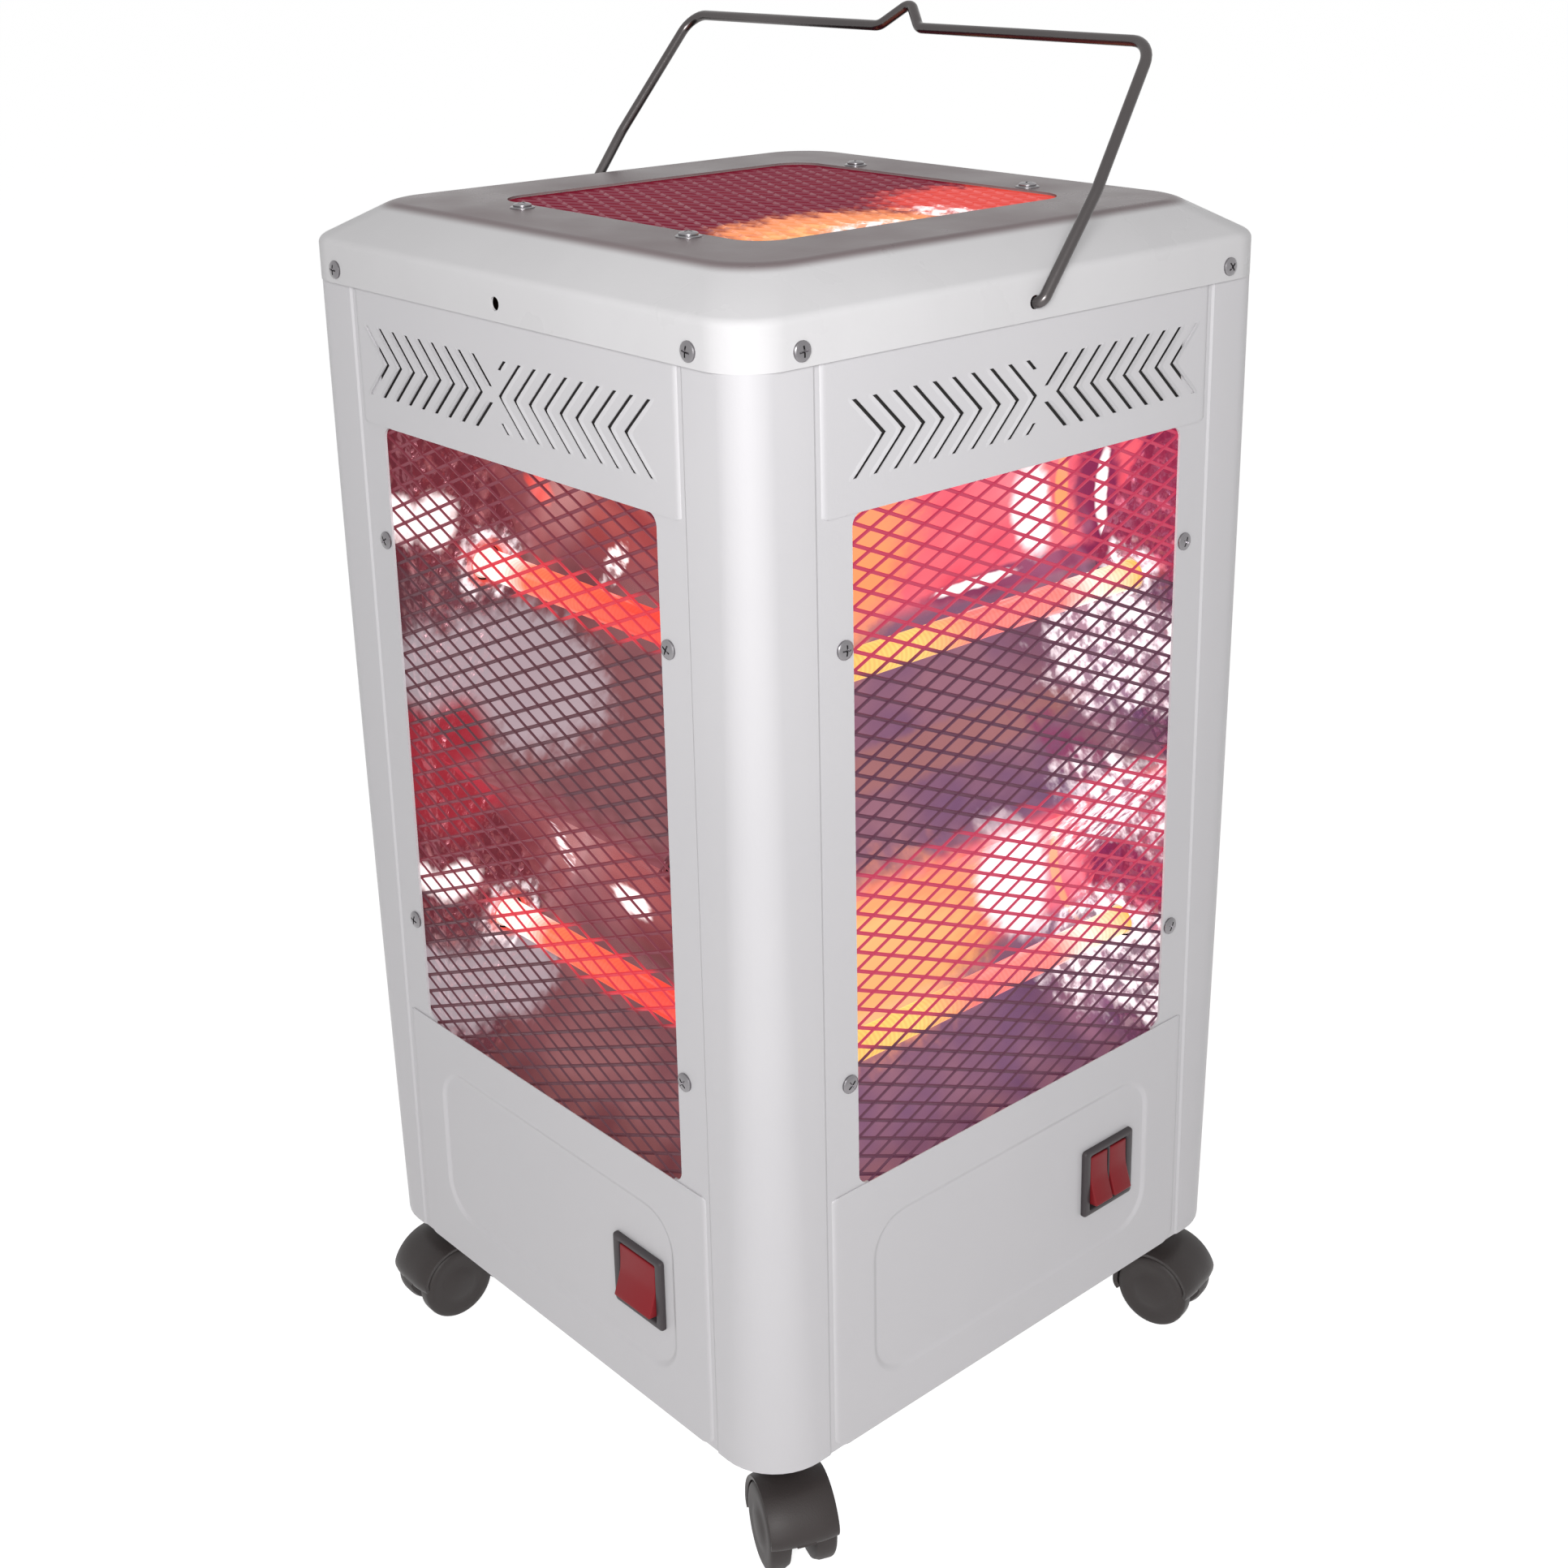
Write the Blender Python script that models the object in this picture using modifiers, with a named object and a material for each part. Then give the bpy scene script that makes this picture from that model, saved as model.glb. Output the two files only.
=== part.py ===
"""Portable quartz heater on casters, modelled piece by piece.

A square sheet-metal tower: four full-height corner posts with recessed flanges,
a pressed lower panel and a louvred vent panel on each face, an expanded-metal
guard over each window, a pressed lid with a guarded top window and a bail.
Inside, each face has a polished double-trough reflector with two quartz tubes,
and the lid carries a fifth reflector with two more. Front is -Y, up is +Z, and
the origin is on the floor under the middle of the body.
"""
import math
from collections import namedtuple

import bmesh
import bpy
from mathutils import Matrix, Vector

OBJECT_NAME = "quartz_heater"

# Shared clearances and sheet gauges
GAP = 0.0003
SHEET = 0.0010
OVERRUN = 0.0020
MERGE = 0.00001

# Casters
WHEEL_RADIUS = 0.0175
WHEEL_WIDTH = 0.0095
WHEEL_SPACING = 0.0186
WHEEL_ROUND = 0.0030
WHEEL_STEPS = 14
AXLE_RADIUS = 0.0030
AXLE_HEAD_RADIUS = 0.0045
AXLE_HEAD = 0.0010
TRAIL = 0.0180
HOOD_COVER = 0.0040
HOOD_RADIUS = WHEEL_RADIUS + HOOD_COVER
HOOD_HALF_WIDTH = (WHEEL_SPACING + WHEEL_WIDTH) / 2 + GAP
HOOD_CLEARANCE = 0.0012
HOOD_HEADROOM = 0.0110
HOOD_TRAIL_ANGLE = math.radians(8)
HOOD_LEAD_ANGLE = math.radians(196)
HOOD_STEPS = 10
BOSS_RADIUS = 0.0110
STEM_RADIUS = 0.0055
STEM_RISE = 0.0150
CASTER_LIFT = WHEEL_RADIUS + HOOD_RADIUS + HOOD_HEADROOM
CASTER_HEADINGS = {
    "front_right": -24,
    "front_left": -92,
    "back_right": 12,
    "back_left": 135,
}

# Body
BODY_HALF = 0.1400
BODY_HEIGHT = 0.4755
FLANGE_SET_BACK = 0.0027
FLANGE_FACE = BODY_HALF - FLANGE_SET_BACK
FLANGE_WIDTH = 0.0185
STEP_INSET = 0.0328
STEP_HALF = BODY_HALF - STEP_INSET
STEP_RUN = 0.0012
POST_RADIUS = 0.0260
WINDOW_HALF = STEP_HALF - FLANGE_WIDTH
CORNER_STEPS = 4

# Lid, heights above the body's underside
LID_SHEET = 0.0012
LID_OVERHANG = 0.0018
LID_HALF = BODY_HALF + LID_OVERHANG
LID_SLOPE_DROP = 0.0145
LID_SLOPE_RUN = 0.0218
LID_SKIRT_DEPTH = 0.0173
LID_TOP = BODY_HEIGHT
LID_SKIRT_HIGH = LID_TOP - LID_SLOPE_DROP
LID_SKIRT_LOW = LID_SKIRT_HIGH - LID_SKIRT_DEPTH
LID_TOP_HALF = LID_HALF - LID_SLOPE_RUN
LID_TOP_RADIUS = 0.0260
LID_MARGIN = 0.0360
LID_WINDOW_HALF = LID_TOP_HALF - LID_MARGIN
LID_WINDOW_RADIUS = 0.0145
PIVOT_RISE = 0.0068
PIVOT_HEIGHT = LID_SKIRT_LOW + PIVOT_RISE

# Panels between the posts, and the window that they leave
LOWER_PANEL_HEIGHT = 0.1155
VENT_PANEL_HEIGHT = 0.0562
WINDOW_LOW = LOWER_PANEL_HEIGHT
WINDOW_HIGH = LID_SKIRT_LOW - VENT_PANEL_HEIGHT
WINDOW_MIDDLE = (WINDOW_LOW + WINDOW_HIGH) / 2
PANEL_ROLL_RUN = 0.0034
PANEL_FACE_HALF = STEP_HALF - GAP - PANEL_ROLL_RUN
PANEL_LOW_RADIUS = 0.0060
PANEL_HIGH_RADIUS = 0.0015
RECESS_MARGIN = 0.0195
RECESS_WALL = 0.0025
RECESS_DEPTH = 0.0011
RECESS_RADIUS = 0.0180
VENT_TUCK = 0.0028

# Louvres of a vent panel
LOUVRE_COUNT = 9
LOUVRE_DROP = 0.0013
LOUVRE_MIDDLE = (WINDOW_HIGH + LID_SKIRT_LOW) / 2 - LOUVRE_DROP
LOUVRE_MARGIN = 0.0135
LOUVRE_REACH = PANEL_FACE_HALF - LOUVRE_MARGIN
LOUVRE_FIRST = 0.0030
LOUVRE_HALF = 0.01425
LOUVRE_SLOT = 0.0017
LOUVRE_HOOD = 0.0034
LOUVRE_PROUD = 0.0010
LOUVRE_SPLIT_SHARE = 0.22
LOUVRE_SHORT_SHARE = 0.72

# Guards of expanded metal, with a wider diamond than the real mesh
GUARD_OVERLAP = 0.0033
GUARD_HALF = WINDOW_HALF + GUARD_OVERLAP
GUARD_TUCK = 0.0080
GUARD_THICK = 0.0011
GUARD_STRAND = 0.0024
GUARD_BORDER = 0.0030
GUARD_COLUMNS = 3
GUARD_ROWS = 4
TOP_GUARD_OVERLAP = 0.0120
TOP_GUARD_HALF = LID_WINDOW_HALF + TOP_GUARD_OVERLAP
TOP_GUARD_CELLS = 3

# Base pan
PAN_FLANGE = 0.0160
SOCKET_INSET = 0.0290
SOCKET_PLACE = BODY_HALF - SOCKET_INSET
SOCKET_WALL = 0.0025
SOCKET_OUTER = STEM_RADIUS + SOCKET_WALL
SOCKET_HEADROOM = 0.0020
SOCKET_HEIGHT = STEM_RISE + SOCKET_HEADROOM
PAN_SLOT_COUNT = 5
PAN_SLOT_LENGTH = 0.1000
PAN_SLOT_WIDTH = 0.0060
PAN_SLOT_PITCH = 0.0180

# Bail handle of round steel wire
WIRE_RADIUS = 0.00225
WIRE_TUCK = 0.0088
WIRE_INNER_END = LID_HALF - WIRE_TUCK
BAIL_SIDE_GAP = 0.00115
BAIL_LEG = LID_HALF + BAIL_SIDE_GAP + WIRE_RADIUS
BAIL_TAPER = 0.0072
BAIL_BAR_HALF = BAIL_LEG - BAIL_TAPER
BAIL_REACH = 0.1120
BAIL_STRAIGHT = 0.0480
BAIL_EYE_BEND = 0.0032
BAIL_CORNER_BEND = 0.0110
KINK_HALF = 0.0120
KINK_RISE = 0.0120
KINK_FOOT_BEND = 0.0060
KINK_CREST_BEND = 0.0040
BAIL_LEAN = math.radians(37)

# Rocker switches
MOUTH_HALF_WIDTH = 0.0120
MOUTH_HALF_HEIGHT = 0.0134
MOUTH_RIB = 0.0030
ROCKER_END_GAP = 0.0014
ROCKER_HALF_HEIGHT = MOUTH_HALF_HEIGHT - ROCKER_END_GAP
ROCKER_TIP = 0.0056
ROCKER_DIP = 0.0040
ROCKER_SHOULDER = 0.0010
ROCKER_KEEL = 0.0060
ROCKER_KEEL_HALF = 0.0036
ROCKER_PIVOT_DEPTH = 0.0040
ROCKER_TILT = math.radians(10)
KEEL_ROOM = 0.0030
MOUTH_DEPTH = ROCKER_PIVOT_DEPTH + ROCKER_KEEL + KEEL_ROOM
BEZEL_WALL = 0.0015
BEZEL_SIDE_LIP = 0.0023
BEZEL_END_LIP = 0.0013
BEZEL_HALF_WIDTH = MOUTH_HALF_WIDTH + BEZEL_WALL + BEZEL_SIDE_LIP
BEZEL_HALF_HEIGHT = MOUTH_HALF_HEIGHT + BEZEL_WALL + BEZEL_END_LIP
BEZEL_PROUD = 0.0022
BEZEL_BACK = 0.0070
BEZEL_BODY_DEPTH = MOUTH_DEPTH + BEZEL_BACK
PIN_RADIUS = 0.0015
PIN_END_WALL = 0.0004
PIN_LENGTH = BEZEL_WALL - PIN_END_WALL
PIN_STEPS = 8
SWITCH_DROP = 0.00175
SWITCH_HEIGHT = LOWER_PANEL_HEIGHT / 2 - SWITCH_DROP
SWITCH_TOP = SWITCH_HEIGHT + MOUTH_HALF_HEIGHT + BEZEL_WALL
SWITCH_SINGLE_INSET = 0.0432
SWITCH_DOUBLE_INSET = 0.0465

# Quartz tubes with their ceramic ends
TUBE_RADIUS = 0.00625
TUBE_STEPS = 10
CERAMIC_RADIUS = 0.0072
CERAMIC_LONG = 0.0115
CERAMIC_SHORT = 0.0058

# Side reflectors: each face has two troughs, one above the other
UNIT_FOOT_GAP = 0.0031
UNIT_HEAD_GAP = 0.0537
UNIT_LOW = SWITCH_TOP + UNIT_FOOT_GAP
UNIT_HIGH = LID_SKIRT_LOW - UNIT_HEAD_GAP
TROUGH_TRIM = 0.0060
TUBE_SPACING = (UNIT_HIGH - UNIT_LOW) / 2 + TROUGH_TRIM
TROUGH_FRONT = 0.0090
TROUGH_BACK = 0.0550
TROUGH_POWER = 1.55
TROUGH_STEPS = 7
REFLECTOR_SHEET = 0.0008
EAR_DEPTH = FLANGE_SET_BACK + SHEET + GAP
EAR_OVERLAP = 0.0133
LONG_UNIT_REACH = 0.0143
LONG_UNIT_HALF = WINDOW_HALF + LONG_UNIT_REACH
LONG_UNIT_MIDDLE = (UNIT_LOW + UNIT_HIGH) / 2
LONG_TUBE_DEPTH = 0.0350
LONG_EAR = 0.0135
TUBE_END = REFLECTOR_SHEET + GAP + CERAMIC_SHORT
SHORT_UNIT_HALF = BODY_HALF - TROUGH_BACK - REFLECTOR_SHEET - GAP - TUBE_END
SHORT_UNIT_RISE = 0.0100
SHORT_UNIT_MIDDLE = LONG_UNIT_MIDDLE + SHORT_UNIT_RISE
SHORT_TUBE_DEPTH = 0.0370
SHORT_EAR = WINDOW_HALF + EAR_OVERLAP - SHORT_UNIT_HALF

# Top reflector under the lid's window, each trough half as wide as the window
TOP_UNIT_HALF = LID_WINDOW_HALF
TOP_TUBE_SPACING = LID_WINDOW_HALF
TOP_TROUGH_FRONT = 0.0050
TOP_TROUGH_BACK = 0.0380
TOP_TUBE_DEPTH = 0.0230

# Pieces in the base
GLAND_INSET = 0.0435
GLAND_PLACE = GLAND_INSET - PANEL_FACE_HALF
GLAND_DROP = 0.00775
GLAND_HEIGHT = LOWER_PANEL_HEIGHT / 2 - GLAND_DROP
GLAND_RADIUS = 0.0095
GLAND_NECK = 0.0067
GLAND_BORE = 0.0038
GLAND_FLANGE = 0.0024
GLAND_TAIL = 0.0110
TERMINAL_SIZE = (0.0520, 0.0180, 0.0140)
TERMINAL_PLACE = (-0.0300, 0.0650)
TERMINAL_WELLS = 3
TERMINAL_WELL_DEPTH = 0.0060
TILT_SIZE = (0.0240, 0.0150, 0.0200)
TILT_PLACE = (0.0450, 0.0650)
TILT_BUTTON_RADIUS = 0.0045
TILT_BUTTON_RISE = 0.0050

SIDES = ("front", "right", "back", "left")
CORNERS = ("front_right", "back_right", "back_left", "front_left")
DOUBLE_SWITCH_SIDE = "right"
GLAND_SIDE = "back"

# A double trough: half its length, tube spacing, outer cut, its depths and its ears
Unit = namedtuple("Unit", "half spacing end front back tube_depth ear_depth ear")


def clear_scene():
    """Remove whatever the file holds, so that the model starts empty."""
    for thing in list(bpy.data.objects):
        bpy.data.objects.remove(thing, do_unlink=True)


def new_collection(name):
    """Make a collection in the scene."""
    collection = bpy.data.collections.new(name)
    bpy.context.scene.collection.children.link(collection)
    return collection


clear_scene()
PARTS = new_collection(OBJECT_NAME)
CUTTERS = new_collection(OBJECT_NAME + "_cutters")


def make_material(name, colour, roughness, metallic=0.0, glow=0.0):
    """A Principled material, glowing in its own colour where asked."""
    material = bpy.data.materials.new(name)
    material.use_nodes = True
    shader = material.node_tree.nodes["Principled BSDF"]
    shader.inputs["Base Color"].default_value = (*colour, 1.0)
    shader.inputs["Roughness"].default_value = roughness
    shader.inputs["Metallic"].default_value = metallic
    shader.inputs["Emission Color"].default_value = (*colour, 1.0)
    shader.inputs["Emission Strength"].default_value = glow
    return material


PAINT = make_material("grey_enamel", (0.62, 0.62, 0.62), 0.35)
BLACK_PLASTIC = make_material("black_plastic", (0.020, 0.019, 0.019), 0.45)
TYRE_PLASTIC = make_material("wheel_plastic", (0.030, 0.028, 0.027), 0.55)
RED_PLASTIC = make_material("red_rocker", (0.42, 0.025, 0.030), 0.35)
GUARD_STEEL = make_material("guard_steel", (0.16, 0.14, 0.15), 0.40, 0.9)
WIRE_STEEL = make_material("wire_steel", (0.55, 0.54, 0.53), 0.25, 1.0)
MIRROR_METAL = make_material("mirror_aluminium", (0.86, 0.84, 0.84), 0.12, 1.0)
PAN_STEEL = make_material("pan_steel", (0.45, 0.45, 0.46), 0.45, 0.8)
HOT_QUARTZ = make_material("hot_quartz", (1.0, 0.20, 0.05), 0.20, 0.0, 4.0)
CERAMIC = make_material("terminal_ceramic", (0.80, 0.78, 0.72), 0.55)


def add_part(name, mesh, material, matrix=None):
    """Put a mesh in the scene as one named piece of the heater."""
    thing = bpy.data.objects.new(name, mesh)
    PARTS.objects.link(thing)
    mesh.materials.clear()
    mesh.materials.append(material)
    thing.matrix_world = matrix or Matrix.Identity(4)
    return thing


def add_cutter(name, mesh, matrix=None):
    """Put a mesh in the scene as a tool that only cuts or joins."""
    thing = bpy.data.objects.new(name, mesh)
    CUTTERS.objects.link(thing)
    thing.matrix_world = matrix or Matrix.Identity(4)
    thing.hide_render = True
    thing.display_type = 'WIRE'
    return thing


def boolean(thing, tool, operation='DIFFERENCE'):
    """Cut or join a piece with a tool."""
    modifier = thing.modifiers.new(operation.lower(), 'BOOLEAN')
    modifier.operation = operation
    modifier.solver = 'EXACT'
    modifier.object = tool
    return modifier


def solidify(thing, thickness, offset=-1.0):
    """Give an open sheet its gauge; -1 adds it behind the faces."""
    modifier = thing.modifiers.new("gauge", 'SOLIDIFY')
    modifier.thickness = thickness
    modifier.offset = offset
    modifier.use_even_offset = True
    modifier.use_quality_normals = True
    return modifier


def shade(mesh, angle_degrees=35):
    """Shade a rounded piece smooth, with its real edges kept sharp."""
    mesh.shade_smooth()
    mesh.set_sharp_from_angle(angle=math.radians(angle_degrees))


def mesh_from(bm, name):
    """Finish a bmesh as a mesh datablock."""
    mesh = bpy.data.meshes.new(name)
    bm.to_mesh(mesh)
    bm.free()
    return mesh


def box_mesh(name, size, centre):
    """A box of the given size about the given centre."""
    bm = bmesh.new()
    bmesh.ops.create_cube(bm, size=1.0)
    bmesh.ops.scale(bm, vec=Vector(size), verts=bm.verts)
    bmesh.ops.translate(bm, vec=Vector(centre), verts=bm.verts)
    return mesh_from(bm, name)


def rod_mesh(name, radius, start, end, steps):
    """A straight round rod between two points."""
    bm = bmesh.new()
    run = Vector(end) - Vector(start)
    turn = run.to_track_quat('Z', 'Y').to_matrix().to_4x4()
    middle = (Vector(start) + Vector(end)) / 2
    bmesh.ops.create_cone(
        bm, cap_ends=True, segments=steps, radius1=radius, radius2=radius,
        depth=run.length, matrix=Matrix.Translation(middle) @ turn)
    return mesh_from(bm, name)


def prism_mesh(name, outlines, low, high):
    """Flat outlines in X and Z, drawn out along Y from low to high."""
    bm = bmesh.new()
    for outline in outlines:
        ring = [bm.verts.new((x, low, z)) for x, z in outline]
        face = bm.faces.new(ring)
        grown = bmesh.ops.extrude_face_region(bm, geom=[face])["geom"]
        moved = [part for part in grown if isinstance(part, bmesh.types.BMVert)]
        bmesh.ops.translate(bm, vec=(0, high - low, 0), verts=moved)
    bmesh.ops.recalc_face_normals(bm, faces=bm.faces)
    return mesh_from(bm, name)


def merge_meshes(name, meshes):
    """Several meshes as one, for a tool that cuts many holes at once."""
    bm = bmesh.new()
    for mesh in meshes:
        bm.from_mesh(mesh)
    return mesh_from(bm, name)


def turned(name, profile, steps, material, matrix):
    """A turned piece: a profile at +X swept round Z, then placed."""
    bm = bmesh.new()
    ring = [bm.verts.new((radius, 0, height)) for radius, height in profile]
    for pair in zip(ring, ring[1:]):
        bm.edges.new(pair)
    if profile[0][0] > 0:
        bm.edges.new((ring[-1], ring[0]))
    thing = add_part(name, mesh_from(bm, name), material, matrix)
    screw = thing.modifiers.new("turn", 'SCREW')
    screw.steps = steps
    screw.render_steps = steps
    screw.use_merge_vertices = True
    screw.merge_threshold = MERGE
    return thing


def clear_radius(radius, steps):
    """Radius of a faceted hole that keeps the gap all round a rod."""
    return (radius + GAP) / math.cos(math.pi / steps)


def rounded_loop(half_width, half_height, low_radius, high_radius):
    """Points round a rectangle with rounded corners, anticlockwise from low right."""
    corners = (
        (1, -1, low_radius, -90),
        (1, 1, high_radius, 0),
        (-1, 1, high_radius, 90),
        (-1, -1, low_radius, 180),
    )
    points = []
    for side, level, radius, start in corners:
        middle_x = side * (half_width - radius)
        middle_z = level * (half_height - radius)
        for step in range(CORNER_STEPS + 1):
            angle = math.radians(start + 90 * step / CORNER_STEPS)
            x = middle_x + radius * math.cos(angle)
            z = middle_z + radius * math.sin(angle)
            points.append((x, z, angle))
    return points


def loft(bm, rings, fill):
    """Quads between rings of equally many vertices, and a face in the last."""
    for outer, inner in zip(rings, rings[1:]):
        for here in range(len(outer)):
            there = (here + 1) % len(outer)
            bm.faces.new((outer[here], outer[there], inner[there], inner[here]))
    if fill:
        bm.faces.new(rings[-1])


def side_turn(side):
    """Turn a piece modelled on the front face to another face."""
    return Matrix.Rotation(math.radians(90 * SIDES.index(side)), 4, 'Z')


def body_height(height):
    """Lift a height above the body's underside to one above the floor."""
    return CASTER_LIFT + height


def post_path():
    """The outline of a corner post in plan, from one flange edge to the other."""
    middle = BODY_HALF - POST_RADIUS
    half_path = [(WINDOW_HALF, -FLANGE_FACE), (STEP_HALF, -FLANGE_FACE)]
    half_path.append((STEP_HALF + STEP_RUN, -BODY_HALF))
    arc = []
    arc_steps = CORNER_STEPS + 2
    for step in range(arc_steps + 1):
        angle = math.radians(-90 + 90 * step / arc_steps)
        x = middle + POST_RADIUS * math.cos(angle)
        y = -middle + POST_RADIUS * math.sin(angle)
        arc.append((x, y))
    mirrored = [(-y, -x) for x, y in reversed(half_path)]
    return half_path + arc + mirrored


def post_top():
    """Posts end just under the lid's pressed shoulder."""
    return LID_SKIRT_HIGH - LID_SHEET - GAP


def build_posts():
    """Four folded corner posts, full height, with recessed flanges."""
    for index, corner in enumerate(CORNERS):
        name = "post_" + corner
        bm = bmesh.new()
        ring = [bm.verts.new((x, y, body_height(0))) for x, y in post_path()]
        edges = [bm.edges.new(pair) for pair in zip(ring, ring[1:])]
        grown = bmesh.ops.extrude_edge_only(bm, edges=edges)["geom"]
        raised = [part for part in grown if isinstance(part, bmesh.types.BMVert)]
        bmesh.ops.translate(bm, vec=(0, 0, post_top()), verts=raised)
        mesh = mesh_from(bm, name)
        shade(mesh)
        turn = Matrix.Rotation(math.radians(90 * index), 4, 'Z')
        post = add_part(name, mesh, PAINT, turn)
        solidify(post, SHEET, 1.0)


def panel_edges(bm, ring, loop, roll_drop):
    """Roll the two upright edges of a panel back towards the post flanges."""
    count = len(loop) // 2
    for start in (0, count):
        chain = range(start, start + count)
        rolled = {}
        for index in chain:
            x, z, angle = loop[index]
            share = math.cos(angle)
            if abs(share) < MERGE:
                rolled[index] = ring[index]
                continue
            base = ring[index].co
            place = (base.x + PANEL_ROLL_RUN * share, base.y + roll_drop * abs(share), base.z)
            rolled[index] = bm.verts.new(place)
        for here, there in zip(chain, chain[1:]):
            corners = [ring[there], ring[here], rolled[here], rolled[there]]
            kept = [vert for at, vert in enumerate(corners) if vert not in corners[:at]]
            bm.faces.new(kept)


def panel_mesh(name, low, high, low_radius, recessed):
    """The face sheet of a lower or vent panel, on the front face."""
    roll_drop = BODY_HALF - FLANGE_FACE - GAP - SHEET
    half_height = (high - low) / 2
    middle = body_height((high + low) / 2)
    bm = bmesh.new()
    outer = rounded_loop(PANEL_FACE_HALF, half_height, low_radius, PANEL_HIGH_RADIUS)
    rings = [[bm.verts.new((x, -BODY_HALF, middle + z)) for x, z, angle in outer]]
    panel_edges(bm, rings[0], outer, roll_drop)
    if recessed:
        for inset, depth in ((RECESS_MARGIN, 0), (RECESS_MARGIN + RECESS_WALL, RECESS_DEPTH)):
            radius = RECESS_RADIUS + RECESS_MARGIN - inset
            loop = rounded_loop(PANEL_FACE_HALF - inset, half_height - inset, radius, radius)
            rings.append([bm.verts.new((x, depth - BODY_HALF, middle + z)) for x, z, angle in loop])
    loft(bm, rings, True)
    mesh = mesh_from(bm, name)
    shade(mesh)
    return mesh


def recess_face():
    """How far the recessed field's face lies from the heater's axis."""
    return BODY_HALF - RECESS_DEPTH


def switch_place(side):
    """Where the switch sits along its face."""
    if side == DOUBLE_SWITCH_SIDE:
        return PANEL_FACE_HALF - SWITCH_DOUBLE_INSET
    return PANEL_FACE_HALF - SWITCH_SINGLE_INSET


def bezel_body_half():
    """Half width and height of the switch body behind its flange."""
    return MOUTH_HALF_WIDTH + BEZEL_WALL, MOUTH_HALF_HEIGHT + BEZEL_WALL


def build_lower_panels():
    """Four pressed panels below the windows, cut out for the switches and gland."""
    for side in SIDES:
        name = "lower_panel_" + side
        turn = side_turn(side)
        mesh = panel_mesh(name, 0, WINDOW_LOW, PANEL_LOW_RADIUS, True)
        panel = add_part(name, mesh, PAINT, turn)
        solidify(panel, SHEET)
        half_width, half_height = bezel_body_half()
        size = (2 * (half_width + GAP), BEZEL_BODY_DEPTH, 2 * (half_height + GAP))
        centre = (switch_place(side), -BODY_HALF, body_height(SWITCH_HEIGHT))
        boolean(panel, add_cutter(name + "_switch_cut", box_mesh("switch_cut", size, centre), turn))
        if side == GLAND_SIDE:
            height = body_height(GLAND_HEIGHT)
            start = (GLAND_PLACE, -BODY_HALF - OVERRUN, height)
            end = (GLAND_PLACE, -BODY_HALF + 2 * OVERRUN, height)
            radius = clear_radius(GLAND_NECK, TUBE_STEPS)
            hole = rod_mesh("gland_cut", radius, start, end, TUBE_STEPS)
            boolean(panel, add_cutter(name + "_gland_cut", hole, turn))


def chevron(tip, pointing, width, low_share=0.0, arms=(1, -1)):
    """Outlines of a louvre's two arms, from a share of their length to their ends."""
    outlines = []
    if low_share == 0.0:
        outline = [(0, 0), (LOUVRE_HALF, LOUVRE_HALF), (LOUVRE_HALF + width, LOUVRE_HALF)]
        outline += [(width, 0), (LOUVRE_HALF + width, -LOUVRE_HALF), (LOUVRE_HALF, -LOUVRE_HALF)]
        outlines.append(outline)
    else:
        near = low_share * LOUVRE_HALF
        for arm in arms:
            outline = [(near, arm * near), (LOUVRE_HALF, arm * LOUVRE_HALF)]
            outline += [(LOUVRE_HALF + width, arm * LOUVRE_HALF), (near + width, arm * near)]
            outlines.append(outline)
    middle = body_height(LOUVRE_MIDDLE)
    return [[(pointing * (tip + x), middle + z) for x, z in outline] for outline in outlines]


def louvre_plan():
    """Every louvre of a vent panel: tip, direction and the share left uncut."""
    pitch = (LOUVRE_REACH - LOUVRE_HALF - LOUVRE_FIRST) / (LOUVRE_COUNT - 1)
    plan = []
    for pointing in (1, -1):
        for index in range(LOUVRE_COUNT):
            split = LOUVRE_SPLIT_SHARE if pointing < 0 and index == 0 else 0.0
            plan.append((LOUVRE_FIRST + index * pitch, pointing, split))
    plan.append((LOUVRE_FIRST - pitch, 1, LOUVRE_SHORT_SHARE))
    return plan


def hood_mesh(outlines):
    """Raised hoods: high along the slot, running out to the sheet on the far side."""
    bm = bmesh.new()
    root = -BODY_HALF + SHEET / 2
    for outline in outlines:
        half = len(outline) // 2
        low = [bm.verts.new((x, root, z)) for x, z in outline]
        high_side = (0, 1, len(outline) - 1) if half == 3 else (0, 1)
        top = {}
        for index in high_side:
            x, z = outline[index]
            top[index] = bm.verts.new((x, -BODY_HALF - LOUVRE_PROUD, z))
        if half == 3:
            bm.faces.new((low[0], top[0], top[1], low[1]))
            bm.faces.new((low[5], top[5], top[0], low[0]))
            bm.faces.new((top[0], low[3], low[2], top[1]))
            bm.faces.new((top[5], low[4], low[3], top[0]))
            bm.faces.new((low[1], top[1], low[2]))
            bm.faces.new((low[4], top[5], low[5]))
        else:
            bm.faces.new((low[0], top[0], top[1], low[1]))
            bm.faces.new((top[0], low[3], low[2], top[1]))
            bm.faces.new((low[0], low[3], top[0]))
            bm.faces.new((low[1], top[1], low[2]))
        bm.faces.new(low)
    bmesh.ops.recalc_face_normals(bm, faces=bm.faces)
    return mesh_from(bm, "hoods")


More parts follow.
